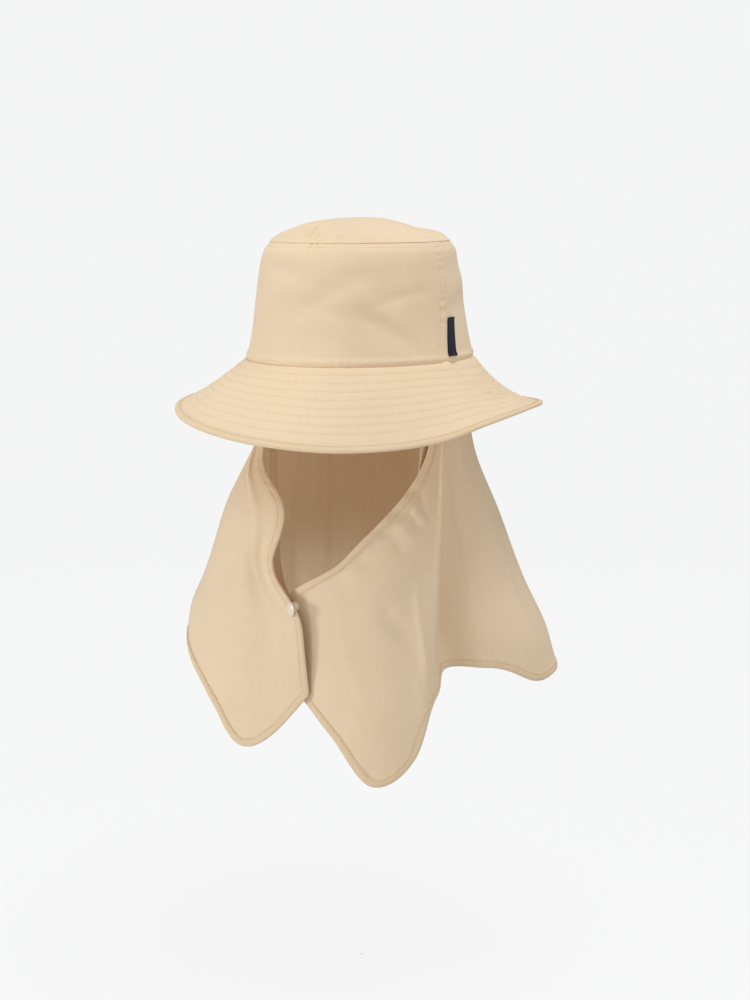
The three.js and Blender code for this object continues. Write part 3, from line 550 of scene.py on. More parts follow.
def tip_relief(deg, out):
    radius = (HEAD_WIDTH + HEAD_LENGTH) / 4 * CROWN_PROFILE["width"][-1]
    from_edge = (1 - out) * radius
    edge = tip_puckers(deg * MM_PER_DEG, from_edge, 2 * MM)
    channel = ridge(from_edge, TOP_ROW, half=0.9 * MM, height=-0.20 * MM)
    folds = creases_round(TIP_CREASES, deg, out, TIP_SPREAD * MM_PER_DEG, radius)
    return edge + channel + folds * np.clip(from_edge / FOLD_FADE, 0, 1)


ROUND_STEPS = (0.05, 0.002)
crown_cloth = Cloth(crown_form, crown_relief, ROUND_STEPS, side=-1)
tip_cloth = Cloth(tip_form, tip_relief, ROUND_STEPS, side=1)
print("Groove at the side seam:", round(float(crown_relief(LEFT_SEAM, 0.5)) / MM, 2), "mm")

# %% [markdown]
# ## Relief of the brim
# Two plies are quilted together by eight rows of stitches that run right round. Each row pulls a shallow
# channel and the cloth swells between rows. The innermost millimetres dip under the crown's lip. Where
# the brim's side seam lies, the rows break over a flute.

# %% Shape the brim's relief
QUILT_ROWS = 8
FIRST_ROW = 9.3 * MM
ROW_STEP = 7.8 * MM
BRIM_SLANT = 79 * MM
CHANNEL_DEPTH = 0.32 * MM
CHANNEL_HALF = 0.95 * MM
QUILT_PUCKER = 0.34 * MM
BRIM_SPREAD = 1.3
QUILT_MM_PER_DEG = MM_PER_DEG * 1.4
BRIM_CREASES = table(
    "deg0 at0 deg1 at1 wide height",
    (277, 0.02, 271, 0.30, 4.5, 1.5),
    (271, 0.30, 268, 0.48, 4.5, 1.9),
    (268, 0.48, 258, 0.66, 4.5, 1.7),
    (272, 0.06, 264, 0.46, 4.0, -1.7),
    (264, 0.50, 248, 0.62, 5.0, -1.3),
    (283, 0.20, 276, 0.60, 7.0, -1.0),
    (258, 0.70, 250, 0.90, 7.0, 1.4),
    (58, 0.10, 64, 0.60, 5.0, -0.9),
    (88, 0.10, 96, 0.80, 7.0, -1.3),
    (160, 0.20, 166, 0.80, 8.0, -1.0),
    (206, 0.20, 200, 0.80, 8.0, 1.0),
)


def quilt_row(k):
    """The share of the way out at which a row of stitches runs."""
    return (FIRST_ROW + ROW_STEP * k) / BRIM_SLANT


def quilt_wobble(round_head, k):
    """How far a row of stitches, guided by hand, strays from its circle."""
    return 0.35 * MM * ripple(round_head + 97 * MM * k, 83 * MM)


def brim_relief(deg, out):
    round_head = deg * QUILT_MM_PER_DEG
    height = ridge(out * BRIM_SLANT, 0, half=2.4 * MM, height=-1.6 * MM)
    for k in range(QUILT_ROWS):
        off = (out - quilt_row(k)) * BRIM_SLANT - quilt_wobble(round_head, k)
        along = round_head + 31 * MM * k
        length = (6.4 + 0.3 * k) * MM
        height = height + ridge(off, 0, CHANNEL_HALF, -CHANNEL_DEPTH)
        height = height + puckers(along, length, off, 0.8 * MM, half=2.4 * MM, height=QUILT_PUCKER)
    folds = creases_round(BRIM_CREASES, deg, out, MM_PER_DEG * BRIM_SPREAD, BRIM_SLANT)
    return height + folds * np.clip((1.04 - out) / 0.12, 0, 1)


brim_cloth = Cloth(brim_form, brim_relief, ROUND_STEPS, side=1)
print("Rows of quilting at", [round(quilt_row(k), 3) for k in range(QUILT_ROWS)])

# %% [markdown]
# ## Relief of the cape
# The cape hangs free, so it holds long soft folds, a few small wrinkles where the flaps pull at the snap,
# and puckers along the bound edges, where the tape is a little shorter than the cloth it wraps. A flat map
# of the cloth, in metres, is needed for those: it also lays out the weave.

# %% Lay the cape out flat and shape its relief
CAPE_WRINKLES = table(
    "at0 drop0 at1 drop1 wide height",
    (0.034, 0.310, 0.155, 0.362, 3.2, -1.2),
    (0.034, 0.356, 0.146, 0.388, 3.0, -1.0),
    (0.030, 0.400, 0.120, 0.440, 3.2, -1.0),
    (0.028, 0.460, 0.082, 0.476, 2.8, -0.8),
    (0.034, 0.333, 0.140, 0.372, 3.0, 0.8),
    (0.030, 0.378, 0.130, 0.412, 3.0, 0.8),
    (0.045, 0.505, 0.088, 0.545, 4.0, -0.8),
    (0.038, 0.480, 0.077, 0.500, 3.5, 0.7),
    (0.155, 0.590, 0.174, 0.636, 6.0, -1.5),
    (0.174, 0.636, 0.196, 0.750, 6.0, -1.4),
    (0.190, 0.560, 0.206, 0.720, 4.0, 1.3),
    (0.110, 0.777, 0.127, 0.860, 4.0, -0.6),
    (0.100, 0.640, 0.122, 0.860, 8.0, 0.7),
    (0.205, 0.240, 0.217, 0.660, 6.0, 2.8),
    (0.227, 0.260, 0.238, 0.600, 7.0, -2.5),
    (0.264, 0.200, 0.272, 0.420, 5.5, 1.6),
    (0.298, 0.300, 0.308, 0.520, 8.0, -1.3),
    (0.330, 0.560, 0.350, 0.720, 9.0, -1.0),
    (0.974, 0.280, 0.986, 0.600, 4.2, 1.7),
    (0.989, 0.670, 0.993, 0.730, 3.4, 1.2),
    (0.991, 0.579, 0.997, 0.610, 2.4, -0.6),
    (0.956, 0.640, 0.973, 0.650, 3.0, 1.0),
    (0.954, 0.655, 0.972, 0.668, 3.5, -1.0),
    (0.943, 0.720, 0.955, 0.760, 4.0, 0.7),
    (0.963, 0.866, 0.975, 0.868, 2.6, -1.2),
    (0.963, 0.845, 0.973, 0.850, 2.6, 0.9),
    (0.988, 0.826, 0.996, 0.792, 2.4, -1.3),
    (0.984, 0.850, 0.993, 0.812, 2.4, 1.1),
    (0.798, 0.240, 0.774, 0.560, 5.0, -3.2),
    (0.826, 0.240, 0.790, 0.640, 5.5, 3.2),
    (0.760, 0.260, 0.748, 0.560, 7.0, 2.4),
    (0.720, 0.240, 0.716, 0.560, 7.0, -2.4),
    (0.684, 0.240, 0.680, 0.560, 7.0, 2.4),
    (0.640, 0.240, 0.644, 0.560, 8.0, -2.4),
)


THROAT_SHARE = 0.62


def length_along(points):
    """The length from a line's start to each of its points."""
    return np.concatenate([[0], np.cumsum(np.linalg.norm(np.diff(points, axis=0), axis=-1))])


def flat_places():
    """The cape's length round at throat height, from its left front edge."""
    at = np.linspace(0, 1, 801)
    return at, length_along(cape_form(at, THROAT_SHARE))


ROUND_AT, ROUND_LENGTH = flat_places()


def cape_flat(at, down):
    """Where a point of the cape lies on the flat cloth, in metres: across and down."""
    return np.interp(at, ROUND_AT, ROUND_LENGTH), cape_drop(at, down) * CAPE_DROP


def cape_relief(at, down):
    across, below = cape_flat(at, down)
    from_hem = cape_drop(at, 1) * CAPE_DROP - below
    from_front = np.minimum(across, ROUND_LENGTH[-1] - across)
    beside = {"place": 8 * MM, "half": 5 * MM, "height": 0.38 * MM}
    height = puckers(below + 13 * MM, 9 * MM, from_front, **beside)
    height = height + puckers(across, 10 * MM, from_hem, **beside)
    drape = puckers(across + 0.12 * below, 43 * MM, from_hem, 0, half=140 * MM, height=0.8 * MM)
    height = height + drape * np.clip(from_front / (25 * MM), 0, 1)
    for row in rows_of(CAPE_WRINKLES):
        start, end = np.interp([row["at0"], row["at1"]], ROUND_AT, ROUND_LENGTH)
        ends = (start, row["drop0"] * CAPE_DROP, end, row["drop1"] * CAPE_DROP)
        near = crease(across, below, *ends, 1, 1, row["wide"] * MM)
        height = height + row["height"] * MM * near
    return height


cape_cloth = Cloth(cape_form, cape_relief, (0.0005, 0.002), side=-1)
print("The cape is", round(ROUND_LENGTH[-1], 3), "m round at throat height")

# %% [markdown]
# ## Making cloth
# A grid primitive is the start of each sheet. Its flat corners say which row and column each vertex is in,
# so the vertices can be laid onto the surface, and its UV map becomes the flat cloth in metres, which
# keeps the weave true to size. Solidify then gives the sheet its thickness.

# %% Make a sheet from a surface
WELD = 0.01 * MM


def deselect():
    if bpy.context.object and bpy.context.object.mode != "OBJECT":
        bpy.ops.object.mode_set(mode="OBJECT")
    bpy.ops.object.select_all(action="DESELECT")


def activate(obj):
    deselect()
    obj.select_set(True)
    bpy.context.view_layer.objects.active = obj


def edit(obj, operate, select="SELECT"):
    """Run an edit-mode operation, with all of the mesh selected or, for DESELECT, none of it."""
    activate(obj)
    bpy.ops.object.mode_set(mode="EDIT")
    bpy.ops.mesh.select_all(action=select)
    operate()
    bpy.ops.object.mode_set(mode="OBJECT")


def sheet_from(name, points, flat, closed=False):
    """A grid primitive laid onto points (columns, rows, xyz), with its UV map laid out flat in metres."""
    columns, rows = points.shape[:2]
    deselect()
    bpy.ops.mesh.primitive_grid_add(x_subdivisions=columns - 1, y_subdivisions=rows - 1, size=1)
    obj = bpy.context.object
    obj.name = obj.data.name = name
    corners = np.empty(len(obj.data.vertices) * 3)
    obj.data.vertices.foreach_get("co", corners)
    corners = corners.reshape(-1, 3)
    i = np.rint((corners[:, 0] + 0.5) * (columns - 1)).astype(int)
    j = np.rint((corners[:, 1] + 0.5) * (rows - 1)).astype(int)
    obj.data.vertices.foreach_set("co", points[i, j].ravel())
    corner_vertex = np.empty(len(obj.data.loops), int)
    obj.data.loops.foreach_get("vertex_index", corner_vertex)
    places = np.stack(np.broadcast_arrays(*flat), -1)[i, j]
    obj.data.uv_layers[0].name = "cloth_flat"
    obj.data.uv_layers[0].data.foreach_set("uv", places[corner_vertex].ravel())
    obj.data.update()
    if closed:
        edit(obj, lambda: bpy.ops.mesh.remove_doubles(threshold=WELD))
    return obj


def face_outwards(obj, outward):
    """Turn the faces over if, on the whole, they look away from the outward directions."""
    centres = np.empty(len(obj.data.polygons) * 3)
    normals = np.empty_like(centres)
    obj.data.polygons.foreach_get("center", centres)
    obj.data.polygons.foreach_get("normal", normals)
    agree = np.sum(outward(centres.reshape(-1, 3)) * normals.reshape(-1, 3))
    if agree < 0:
        edit(obj, bpy.ops.mesh.flip_normals)


def smooth_shading(obj, sharp_deg):
    """Smooth shading, apart from edges sharper than an angle."""
    activate(obj)
    bpy.ops.object.shade_smooth_by_angle(angle=math.radians(sharp_deg))


def thicken(obj, thickness):
    """Give a sheet its thickness, half to each side, and smooth its shading."""
    solid = obj.modifiers.new("cloth", "SOLIDIFY")
    solid.thickness = thickness
    solid.offset = 0
    solid.use_even_offset = False
    activate(obj)
    bpy.ops.object.modifier_apply(modifier=solid.name)
    smooth_shading(obj, 50)


def away_from_axis(points):
    return points * np.array([1, 1, 0])


def upwards(points):
    return np.broadcast_to([0, 0, 1.0], points.shape)


def corners_of(obj):
    """A mesh's corners as an array."""
    return np.array([v.co for v in obj.data.vertices])


def report(obj):
    corners = corners_of(obj) / MM
    lo, hi = (side.round().astype(int).tolist() for side in (corners.min(0), corners.max(0)))
    triangles = sum(len(p.vertices) - 2 for p in obj.data.polygons)
    print(f"{obj.name}: {triangles} triangles, {lo} to {hi} mm")


def finish_piece(obj, material, slot, *nodes):
    """Give a piece its material and its place on the hat's one body. Its slot is not used."""
    obj.data.materials.clear()
    obj.data.materials.append(material)
    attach(obj, "root")
    if nodes:
        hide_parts(*nodes)
    report(obj)


def finish_sheet(obj, outward, thickness, material, slot, node):
    """Turn a sheet's faces outwards, give it its thickness and finish it."""
    face_outwards(obj, outward)
    thicken(obj, thickness)
    finish_piece(obj, material, slot, node)


print("Points of a grid that lie within", WELD / MM, "mm are welded")

# %% [markdown]
# ## The cloth's finish
# The cloth is a light polyester and nylon plain weave, peach-soft and matt. Colours come from sRGB hex
# values. The real threads are about 0.2 mm apart, which no view at this size could show, so the weave is
# drawn at 0.9 mm, and the slubs that run along single threads at their real length.

# %% Build materials from nodes
def srgb(code):
    """A hex colour turned to linear light, as Blender's sockets want it."""
    channels = [int(code[k:k + 2], 16) / 255 for k in (0, 2, 4)]
    return tuple(c / 12.92 if c <= 0.04045 else ((c + 0.055) / 1.055) ** 2.4 for c in channels) + (1.0,)


def add_node(tree, kind, inputs=None, **properties):
    """Add a node. Each input is given a value, or the socket that it is linked from."""
    node = tree.nodes.new("ShaderNode" + kind)
    for name, value in properties.items():
        setattr(node, name, value)
    for key, value in (inputs or {}).items():
        if isinstance(value, bpy.types.NodeSocket):
            tree.links.new(value, node.inputs[key])
        else:
            node.inputs[key].default_value = value
    return node


def result(tree, kind, inputs=None, **properties):
    """The first output of a new node."""
    return add_node(tree, kind, inputs, **properties).outputs[0]


def new_material(name):
    material = bpy.data.materials.new(name)
    material.use_nodes = True
    tree = material.node_tree
    tree.nodes.clear()
    return material, tree


def end_material(tree, shading, strength=0, depth_mm=0, height=None):
    """The shader, over a bump where there is a height, and the output."""
    if height is not None:
        bump_inputs = {"Strength": strength, "Distance": depth_mm * MM, "Height": height}
        shading = shading | {"Normal": result(tree, "Bump", bump_inputs)}
    add_node(tree, "OutputMaterial", {"Surface": result(tree, "BsdfPrincipled", shading)})


def weave_height(tree, flat, pitch, turn=0.0):
    """The ups and downs of a plain weave, from a flat map in metres."""
    turned = result(tree, "Mapping", {"Rotation": (0, 0, turn), "Vector": flat})
    ways = add_node(tree, "SeparateXYZ", {"Vector": turned}).outputs
    waves = []
    for way in (ways[0], ways[1]):
        angle = result(tree, "Math", {0: way, 1: math.pi / pitch}, operation="MULTIPLY")
        waves.append(result(tree, "Math", {0: angle}, operation="SINE"))
    return result(tree, "Math", dict(enumerate(waves)), operation="MULTIPLY")


def slubs(tree, flat, across_mm, along_mm):
    """Streaks along the threads: noise stretched along one way of the flat cloth."""
    scale = (1000 / across_mm, 1000 / along_mm, 1)
    stretched = result(tree, "Mapping", {"Scale": scale, "Vector": flat})
    return result(tree, "TexNoise", {"Scale": 1.0, "Detail": 2.0, "Vector": stretched})


def speckle(tree, scale, detail):
    """Fine noise in the object's own space."""
    place = add_node(tree, "TexCoord").outputs["Object"]
    return result(tree, "TexNoise", {"Scale": scale, "Detail": detail, "Vector": place})


def mixed(tree, share, one, other):
    """A colour between two hex colours."""
    return add_node(tree, "Mix", {0: share, 6: srgb(one), 7: srgb(other)}, data_type="RGBA").outputs[2]


def summed(tree, *terms):
    """A weighted sum of values."""
    total = 0.0
    for socket, weight in terms:
        total = result(tree, "Math", {0: socket, 1: weight, 2: total}, operation="MULTIPLY_ADD")
    return total


def woven_cloth(name, base, deep, pitch_mm, turn=0.0, roughness=0.82, sheen=0.12):
    """A matt plain weave that follows the piece's flat map."""
    material, tree = new_material(name)
    flat = result(tree, "UVMap", uv_map="cloth_flat")
    weave = weave_height(tree, flat, pitch_mm * MM, turn)
    warp = slubs(tree, flat, 0.9, 34)
    weft = slubs(tree, flat, 27, 0.9)
    clouds = slubs(tree, flat, 60, 60)
    shade = summed(tree, (warp, 0.42), (weft, 0.42), (clouds, 0.42), (weave, 0.06))
    height = summed(tree, (weave, 0.5), (warp, 0.5), (weft, 0.5))
    shading = {
        "Base Color": mixed(tree, shade, deep, base),
        "Roughness": roughness,
        "Specular IOR Level": 0.25,
        "Sheen Weight": sheen,
        "Sheen Roughness": 0.45,
    }
    end_material(tree, shading, strength=0.6, depth_mm=0.09, height=height)
    return material


hat_cloth = woven_cloth("woven_polyester_sand", "f1d9b6", "ddc39d", 0.9)
binding_tape = woven_cloth("bias_cut_tape_sand", "ecd3ae", "d8bc95", 0.9, turn=math.pi / 4, roughness=0.76)
strap_tape = woven_cloth("woven_tape_sand", "e3cba8", "ccb08b", 1.3, roughness=0.8)
print("Cloth materials:", hat_cloth.name, binding_tape.name, strap_tape.name)

# %% [markdown]
# Thread is twisted polyester. Its colour is painted a shade deeper than the cloth, as painted shade for the
# small shadow it sits in, and its lighter specks are painted highlight. The snap is moulded acetal, a
# smooth waxy plastic, and the side label is a plain navy satin tape.

# %% Thread, snap and label materials
def sewing_thread(name, colour, painted_highlight):
    """Twisted thread with fine slanting strands, painted a shade deeper, with painted highlight specks."""
    material, tree = new_material(name)
    strands = speckle(tree, 2600.0, 1.0)
    # The colour is painted shade, and the lighter tone that the speckle mixes in is painted highlight.
    tone = mixed(tree, strands, colour, painted_highlight)
    shading = {"Base Color": tone, "Roughness": 0.6, "Sheen Weight": 0.1}
    end_material(tree, shading, strength=0.4, depth_mm=0.05, height=strands)
    return material


def moulded_acetal(name, colour, deep):
    """Smooth cream plastic with the faintest orange-peel from its mould."""
    material, tree = new_material(name)
    peel = speckle(tree, 900.0, 2.0)
    tone = mixed(tree, peel, deep, colour)
    shading = {"Base Color": tone, "Roughness": 0.33, "IOR": 1.48, "Coat Weight": 0.15}
    end_material(tree, shading, strength=0.15, depth_mm=0.03, height=peel)
    return material


# d3b790 is painted shade, deeper than the cloth; e5cda7 is painted highlight.
thread = sewing_thread("twisted_thread_sand", "d3b790", "e5cda7")
acetal = moulded_acetal("moulded_acetal_cream", "f0e4cd", "e4d5b9")
label_tape = woven_cloth("satin_tape_navy", "191e31", "0f1220", 0.7, roughness=0.55, sheen=0.0)
print("Trim materials:", thread.name, acetal.name, label_tape.name)

# %% [markdown]
# ## Crown and tip
# The two side panels run from one seam to the other. Their lowest row turns under the brim's edge, as a
# seam allowance does, so that no light shows through the join. The tip is laid out in rings, from its
# middle to its seam.

# %% Sew the crown
CELL = 1.5 * MM
CROWN_PLY = 0.9 * MM
TIP_SPOKES = 240
TIP_RINGS = 52
PINHOLE = 0.002
TUCK = 0.03
TUCK_IN = 0.022
TUCK_DOWN = 1.2 * MM
LAP_OUT = 0.35 * MM
LAP_DOWN = 0.75 * MM
LAP_WIDE = 2.2 * MM


def crown_panel(name, from_seam, to_seam, turns, node):
    """A side panel from one leaning seam round to the other, turned under the brim seam at its foot."""
    foot = [-TUCK, -0.004, 0.006]
    up = np.concatenate([foot, np.linspace(0.016, 1, round(CROWN_HEIGHT / CELL))])[None, :]
    start = from_seam(up)
    end = to_seam(up) + turns
    steps = round(float((end - start)[0, 0]) * MM_PER_DEG / CELL)
    deg = start + (end - start) * np.linspace(0, 1, steps + 1)[:, None]
    points = crown_cloth(deg, np.broadcast_to(up, deg.shape))
    tucked = np.clip(-up / TUCK, 0, 1)[..., None]
    points = points * (1 - tucked * [TUCK_IN, TUCK_IN, 0]) - tucked * [0, 0, TUCK_DOWN]
    panel = sheet_from(name, points, (deg * MM_PER_DEG, up * CROWN_HEIGHT))
    finish_sheet(panel, away_from_axis, CROWN_PLY, hat_cloth, "hat_cloth", node)


def crown_top():
    """The tip, its last millimetres lapped out and down over the crown's upper edge."""
    deg = np.linspace(0, 360, TIP_SPOKES + 1)[:, None]
    out = np.linspace(PINHOLE, 1, TIP_RINGS)[None, :]
    points = tip_cloth(deg, out)
    lapped = bump((1 - out) * HEAD_WIDTH / 2, LAP_WIDE)[..., None]
    points = points + lapped * (LAP_OUT * unit(away_from_axis(points)) - [0, 0, LAP_DOWN])
    points[-1] = points[0]
    top = sheet_from("crown_top", points, (points[..., 0], points[..., 1]), closed=True)
    close_pole(top)
    finish_sheet(top, upwards, CROWN_PLY, hat_cloth, "hat_cloth", "crown_tip")


def close_pole(obj):
    """Fill the pinhole that a ringed grid leaves at its middle."""
    edit(obj, lambda: None, select="DESELECT")
    for v in obj.data.vertices:
        v.select = math.hypot(v.co.x, v.co.y) < 1 * MM
    bpy.ops.object.mode_set(mode="EDIT")
    bpy.ops.mesh.merge(type="CENTER")
    bpy.ops.object.mode_set(mode="OBJECT")


crown_panel("crown_front", left_seam, right_seam, 360, "crown_front_panel")
crown_panel("crown_back", right_seam, left_seam, 0, "crown_back_panel")
crown_top()

# %% [markdown]
# ## Brim
# The brim is one ring of quilted cloth. Rows of the grid crowd together at each line of stitches, so that
# the channels stay crisp. Its inner edge turns up 1.2 mm, inside the crown's lower edge.

# %% Sew the brim
BRIM_COLUMNS = 470
BRIM_ROWS = 79
ROW_PULL = 0.35
HIDDEN_ROW = -0.012
BRIM_PLY = 1.1 * MM
BRIM_TURN_UP = 1.2 * MM


def brim_rows():
    """Shares of the way out: an even spread, drawn in towards each row of stitches."""
    even = np.linspace(0, 1, BRIM_ROWS)
    place = even.copy()
    for k in range(QUILT_ROWS):
        off = even - quilt_row(k)
        place -= ROW_PULL * off * bump(off * BRIM_SLANT, 2.4 * MM)
    return np.concatenate([[HIDDEN_ROW], place])


def brim_sheet():
    deg = np.linspace(0, 360, BRIM_COLUMNS + 1)[:, None]
    out = brim_rows()[None, :]
    points = brim_cloth(deg, out)
    points[:, 0] = points[:, 1] + np.array([0, 0, BRIM_TURN_UP])
    points[-1] = points[0]
    flat = (deg * MM_PER_DEG * BRIM_SPREAD, out * BRIM_SLANT)
    sheet = sheet_from("brim_quilted", points, flat, closed=True)
    finish_sheet(sheet, upwards, BRIM_PLY, hat_cloth, "hat_cloth", "brim")


brim_sheet()

# %% [markdown]
# ## Neck cape
# The cape is one sheet of cloth, hung from the brim seam. Columns crowd together behind the two front
# flaps, where the long folds are.

# %% Hang the cape
CAPE_COLUMN_COUNT = 330
CAPE_ROW_COUNT = 138
CAPE_PLY = 0.7 * MM
FLAP_WIDTH = 0.13
FLAP_BLEND = 0.03
BACK_CROWDING = 1.1


def cape_columns():
    """Places round the cape: wide apart in the front flaps and close together behind them."""
    at = np.linspace(0, 1, 1201)
    length = np.interp(at, ROUND_AT, ROUND_LENGTH)
    middle = ROUND_LENGTH[-1] / 2
    beyond_flap = middle - FLAP_WIDTH - np.abs(length - middle)
    crowd = 1 + BACK_CROWDING / (1 + np.exp(-beyond_flap / FLAP_BLEND))
    count = np.concatenate([[0], np.cumsum(np.diff(length) * (crowd[1:] + crowd[:-1]) / 2)])
    return np.interp(np.linspace(0, count[-1], CAPE_COLUMN_COUNT + 1), count, at)


def cape_sheet():
    at = cape_columns()[:, None]
    down = np.linspace(0, 1, CAPE_ROW_COUNT + 1)[None, :]
    grid = np.broadcast_arrays(at, down)
    sheet = sheet_from("neck_cape_cloth", cape_cloth(*grid), cape_flat(*grid))
    thicken(sheet, CAPE_PLY)
    finish_piece(sheet, hat_cloth, "hat_cloth", "neck_cape")
    return sheet


cape = cape_sheet()

# %% [markdown]
# ## Binding
# A raw edge is wrapped in a folded tape: up one side of the cloth, over the edge and down the other. The
# tape's section is swept along the edge, and each of its points is found on the cloth's own surface, at
# its distance in from the edge, so that the tape ripples with the cloth.

# %% Wrap an edge in tape
SECTION_STEP = 0.7 * MM
TAPE_SECTION = table(
    "inset height",
    (1.00, 0.30),
    (0.99, 0.72),
    (0.91, 0.84),
    (0.80, 0.68),
    (0.68, 0.86),
    (0.45, 1.02),
    (0.20, 1.06),
    (-0.06, 0.92),
    (-0.22, 0.50),
    (-0.28, 0.00),
)


def whole_section():
    """Distance in from the edge and height off the cloth: down the outer face and back up the inner one."""
    outer = np.stack([TAPE_SECTION["inset"], TAPE_SECTION["height"]], -1)
    inner = outer[-2::-1] * [1, -1]
    return np.concatenate([outer, inner])


def tube_mesh(name, rings, flat, closed):
    """A skin over rings of points, closed at its ends or joined into a loop."""
    points = np.concatenate([rings, rings[:, :1]], 1)
    if closed:
        points = np.concatenate([points, points[:1]], 0)
    obj = sheet_from(name, points, flat, closed=True)
    if not closed:
        edit(obj, fill_rims, select="DESELECT")
    close_skin(obj, 50)
    return obj


def fill_rims():
    bpy.ops.mesh.select_mode(type="EDGE")
    bpy.ops.mesh.select_non_manifold(extend=False)
    bpy.ops.mesh.edge_face_add()


def close_skin(obj, sharp_deg):
    """Turn a closed skin's faces outwards and smooth its shading."""
    edit(obj, lambda: bpy.ops.mesh.normals_make_consistent(inside=False))
    smooth_shading(obj, sharp_deg)


def moving_mean(values, half):
    """Values smoothed along their length, with the ends held."""
    kernel = np.hanning(2 * half + 3)[1:-1]
    padded = np.concatenate([np.repeat(values[:1], half, 0), values, np.repeat(values[-1:], half, 0)])
    columns = [np.convolve(padded[:, k], kernel / kernel.sum(), "valid") for k in range(values.shape[1])]
    return np.stack(columns, -1)


def wrap_edge(name, node, place, along, closed):
    """Tape round an edge. place(inset) gives the cloth there, its normals and the tape's seat on it."""
    section = whole_section()
    rings = []
    for inset, height in section:
        cloth, normal, seat = place(inset * BINDING_WIDTH)
        rings.append(cloth + normal * (np.sign(height) * seat + height * TAPE))
    across = np.arange(len(section) + 1)[None, :] * SECTION_STEP
    tape = tube_mesh(name, np.stack(rings, 1), (along[:, None], across), closed)
    finish_piece(tape, binding_tape, "binding_tape", node)
    return tape


# %% Bind the brim
BRIM_SEAT = BRIM_CLOTH / 2 - 0.2 * MM
BEYOND_EDGE = 0.2 * BINDING_WIDTH


def beside_brim_edge(inset):
    """The brim an inset from its rim. Well past the rim there is no cloth for the tape to sit on."""
    deg = np.linspace(0, 360, BRIM_COLUMNS + 1)[:-1]
    out = 1 - inset / BRIM_SLANT + 0 * deg
    seat = BRIM_SEAT if inset > -BEYOND_EDGE else 0
    return brim_cloth(deg, out), brim_cloth.normal(deg, out), seat


round_brim = np.linspace(0, ROUND_LENGTH[-1], BRIM_COLUMNS + 1)
wrap_edge("brim_edge_tape", "brim_binding", beside_brim_edge, round_brim, closed=True)

# %% [markdown]
# The cape's tape runs down the left front edge, along the hem and up the right front edge. Where the hem
# turns a corner, the directions are averaged over a few millimetres, so that the tape turns it smoothly.

# %% Bind the cape
CAPE_SEAT = 0.35 * MM
CAPE_TOP = 0.004
WITHIN_AT = (0.0015, 0.9985)
WITHIN_DOWN = (0.0, 0.996)


def cape_edge_line(step):
    """Evenly spaced places (at, down) along the cape's three free edges."""
    fine = np.linspace(0, 1, 1500)
    left = np.stack([0 * fine, CAPE_TOP + (1 - CAPE_TOP) * fine], -1)
    hem = np.stack([fine, 0 * fine + 1], -1)
    right = np.stack([0 * fine + 1, 1 - (1 - CAPE_TOP) * fine], -1)
    places = np.concatenate([left, hem[1:], right[1:]])
    length = length_along(cape_form(places[:, 0], places[:, 1]))
    even = np.linspace(0, length[-1], round(length[-1] / step) + 1)
    return np.interp(even, length, places[:, 0]), np.interp(even, length, places[:, 1])


def cape_edge(step):
    """The edge's places, with its points, its smoothed inward directions and its normals."""
    at, down = cape_edge_line(step)
    points = cape_form(at, down)
    normal = cape_cloth.normal(np.clip(at, *WITHIN_AT), np.clip(down, *WITHIN_DOWN))
    run = unit(np.gradient(points, axis=0))
    inward = unit(moving_mean(np.cross(normal, run), round(4 * MM / step)))
    return (at, down), points, inward, normal


def on_cape(places, inward, inset):
    """Places that lie inset metres in from the edge along the inward direction."""
    at, down = places
    slopes = cape_cloth.slopes(np.clip(at, *WITHIN_AT), np.clip(down, 0.003, WITHIN_DOWN[1]))
    moves = np.einsum("nij,nj->ni", np.linalg.pinv(np.stack(slopes, -1)), inward)
    return at + moves[:, 0] * inset, down + moves[:, 1] * inset


def cape_binding():
    places, points, inward, normal = cape_edge(2.4 * MM)

    def beside_cape_edge(inset):
        cloth = cape_cloth(*on_cape(places, inward, max(inset, 0)))
        return cloth + inward * min(inset, 0), normal, CAPE_SEAT

    along = length_along(points)
    return wrap_edge("cape_edge_tape", "cape_binding", beside_cape_edge, along, closed=False)


cape_tape = cape_binding()

# %% [markdown]
# ## Chin strap
# A flat tape hangs in a loop from both sides of the crown, its ends sewn in beside the cape's front edges.
# Its few route points follow the part's, with the top ones a few millimetres further forward, where the
# hanging tape shows beside the face. One smooth curve runs through them.

# %% Hang the chin strap
STRAP_WIDTH = 12 * MM
STRAP_THICKNESS = 1.0 * MM
STRAP_DROP = 236 * MM
STRAP_DEG = 277
STRAP_ROUTE = table(
    "drop across along twist",
    (0.10, 0.862, 0.172, 8),
    (0.33, 0.845, 0.205, 10),
    (0.58, 0.780, 0.262, 12),
    (0.80, 0.690, 0.315, 10),
    (0.93, 0.460, 0.345, 5),
    (0.99, 0.200, 0.355, 0),
)


def strap_end(turn):
    depth = CROWN_CLOTH / 2 + 2 * SEW_GAP + CAPE_CLOTH + SEW_GAP + STRAP_THICKNESS / 2
    return inside_crown(STRAP_DEG + turn, depth, CAPE_LAP)


def strap_route():
    """The tape's route from the wearer's left seam down and up to the right one, and its twist."""
    half = np.stack([
        HEAD_WIDTH / 2 * STRAP_ROUTE["across"],
        -HEAD_LENGTH / 2 * STRAP_ROUTE["along"],
        -STRAP_DROP * STRAP_ROUTE["drop"],
    ], -1)
    bottom = np.array([[0, half[-1, 1], -STRAP_DROP]])
    beside = strap_end(1) - strap_end(-1)
    seat_twist = math.degrees(math.atan(beside[0] / beside[1]))
    left = np.concatenate([[strap_end(0)], half])
    route = np.concatenate([left, bottom, left[::-1] * [-1, 1, 1]])
    twist = np.concatenate([[seat_twist], STRAP_ROUTE["twist"]])
    return route, np.concatenate([twist, [0], -twist[::-1]])


def strap_section():
    """Corners of the flat tape's section, in half widths and half thicknesses."""
    upper = [(1, 0.6), (0.97, 1), (0.5, 1), (0, 1), (-0.5, 1), (-0.97, 1), (-1, 0.6)]
    return np.array([(-x, -y) for x, y in upper] + upper)


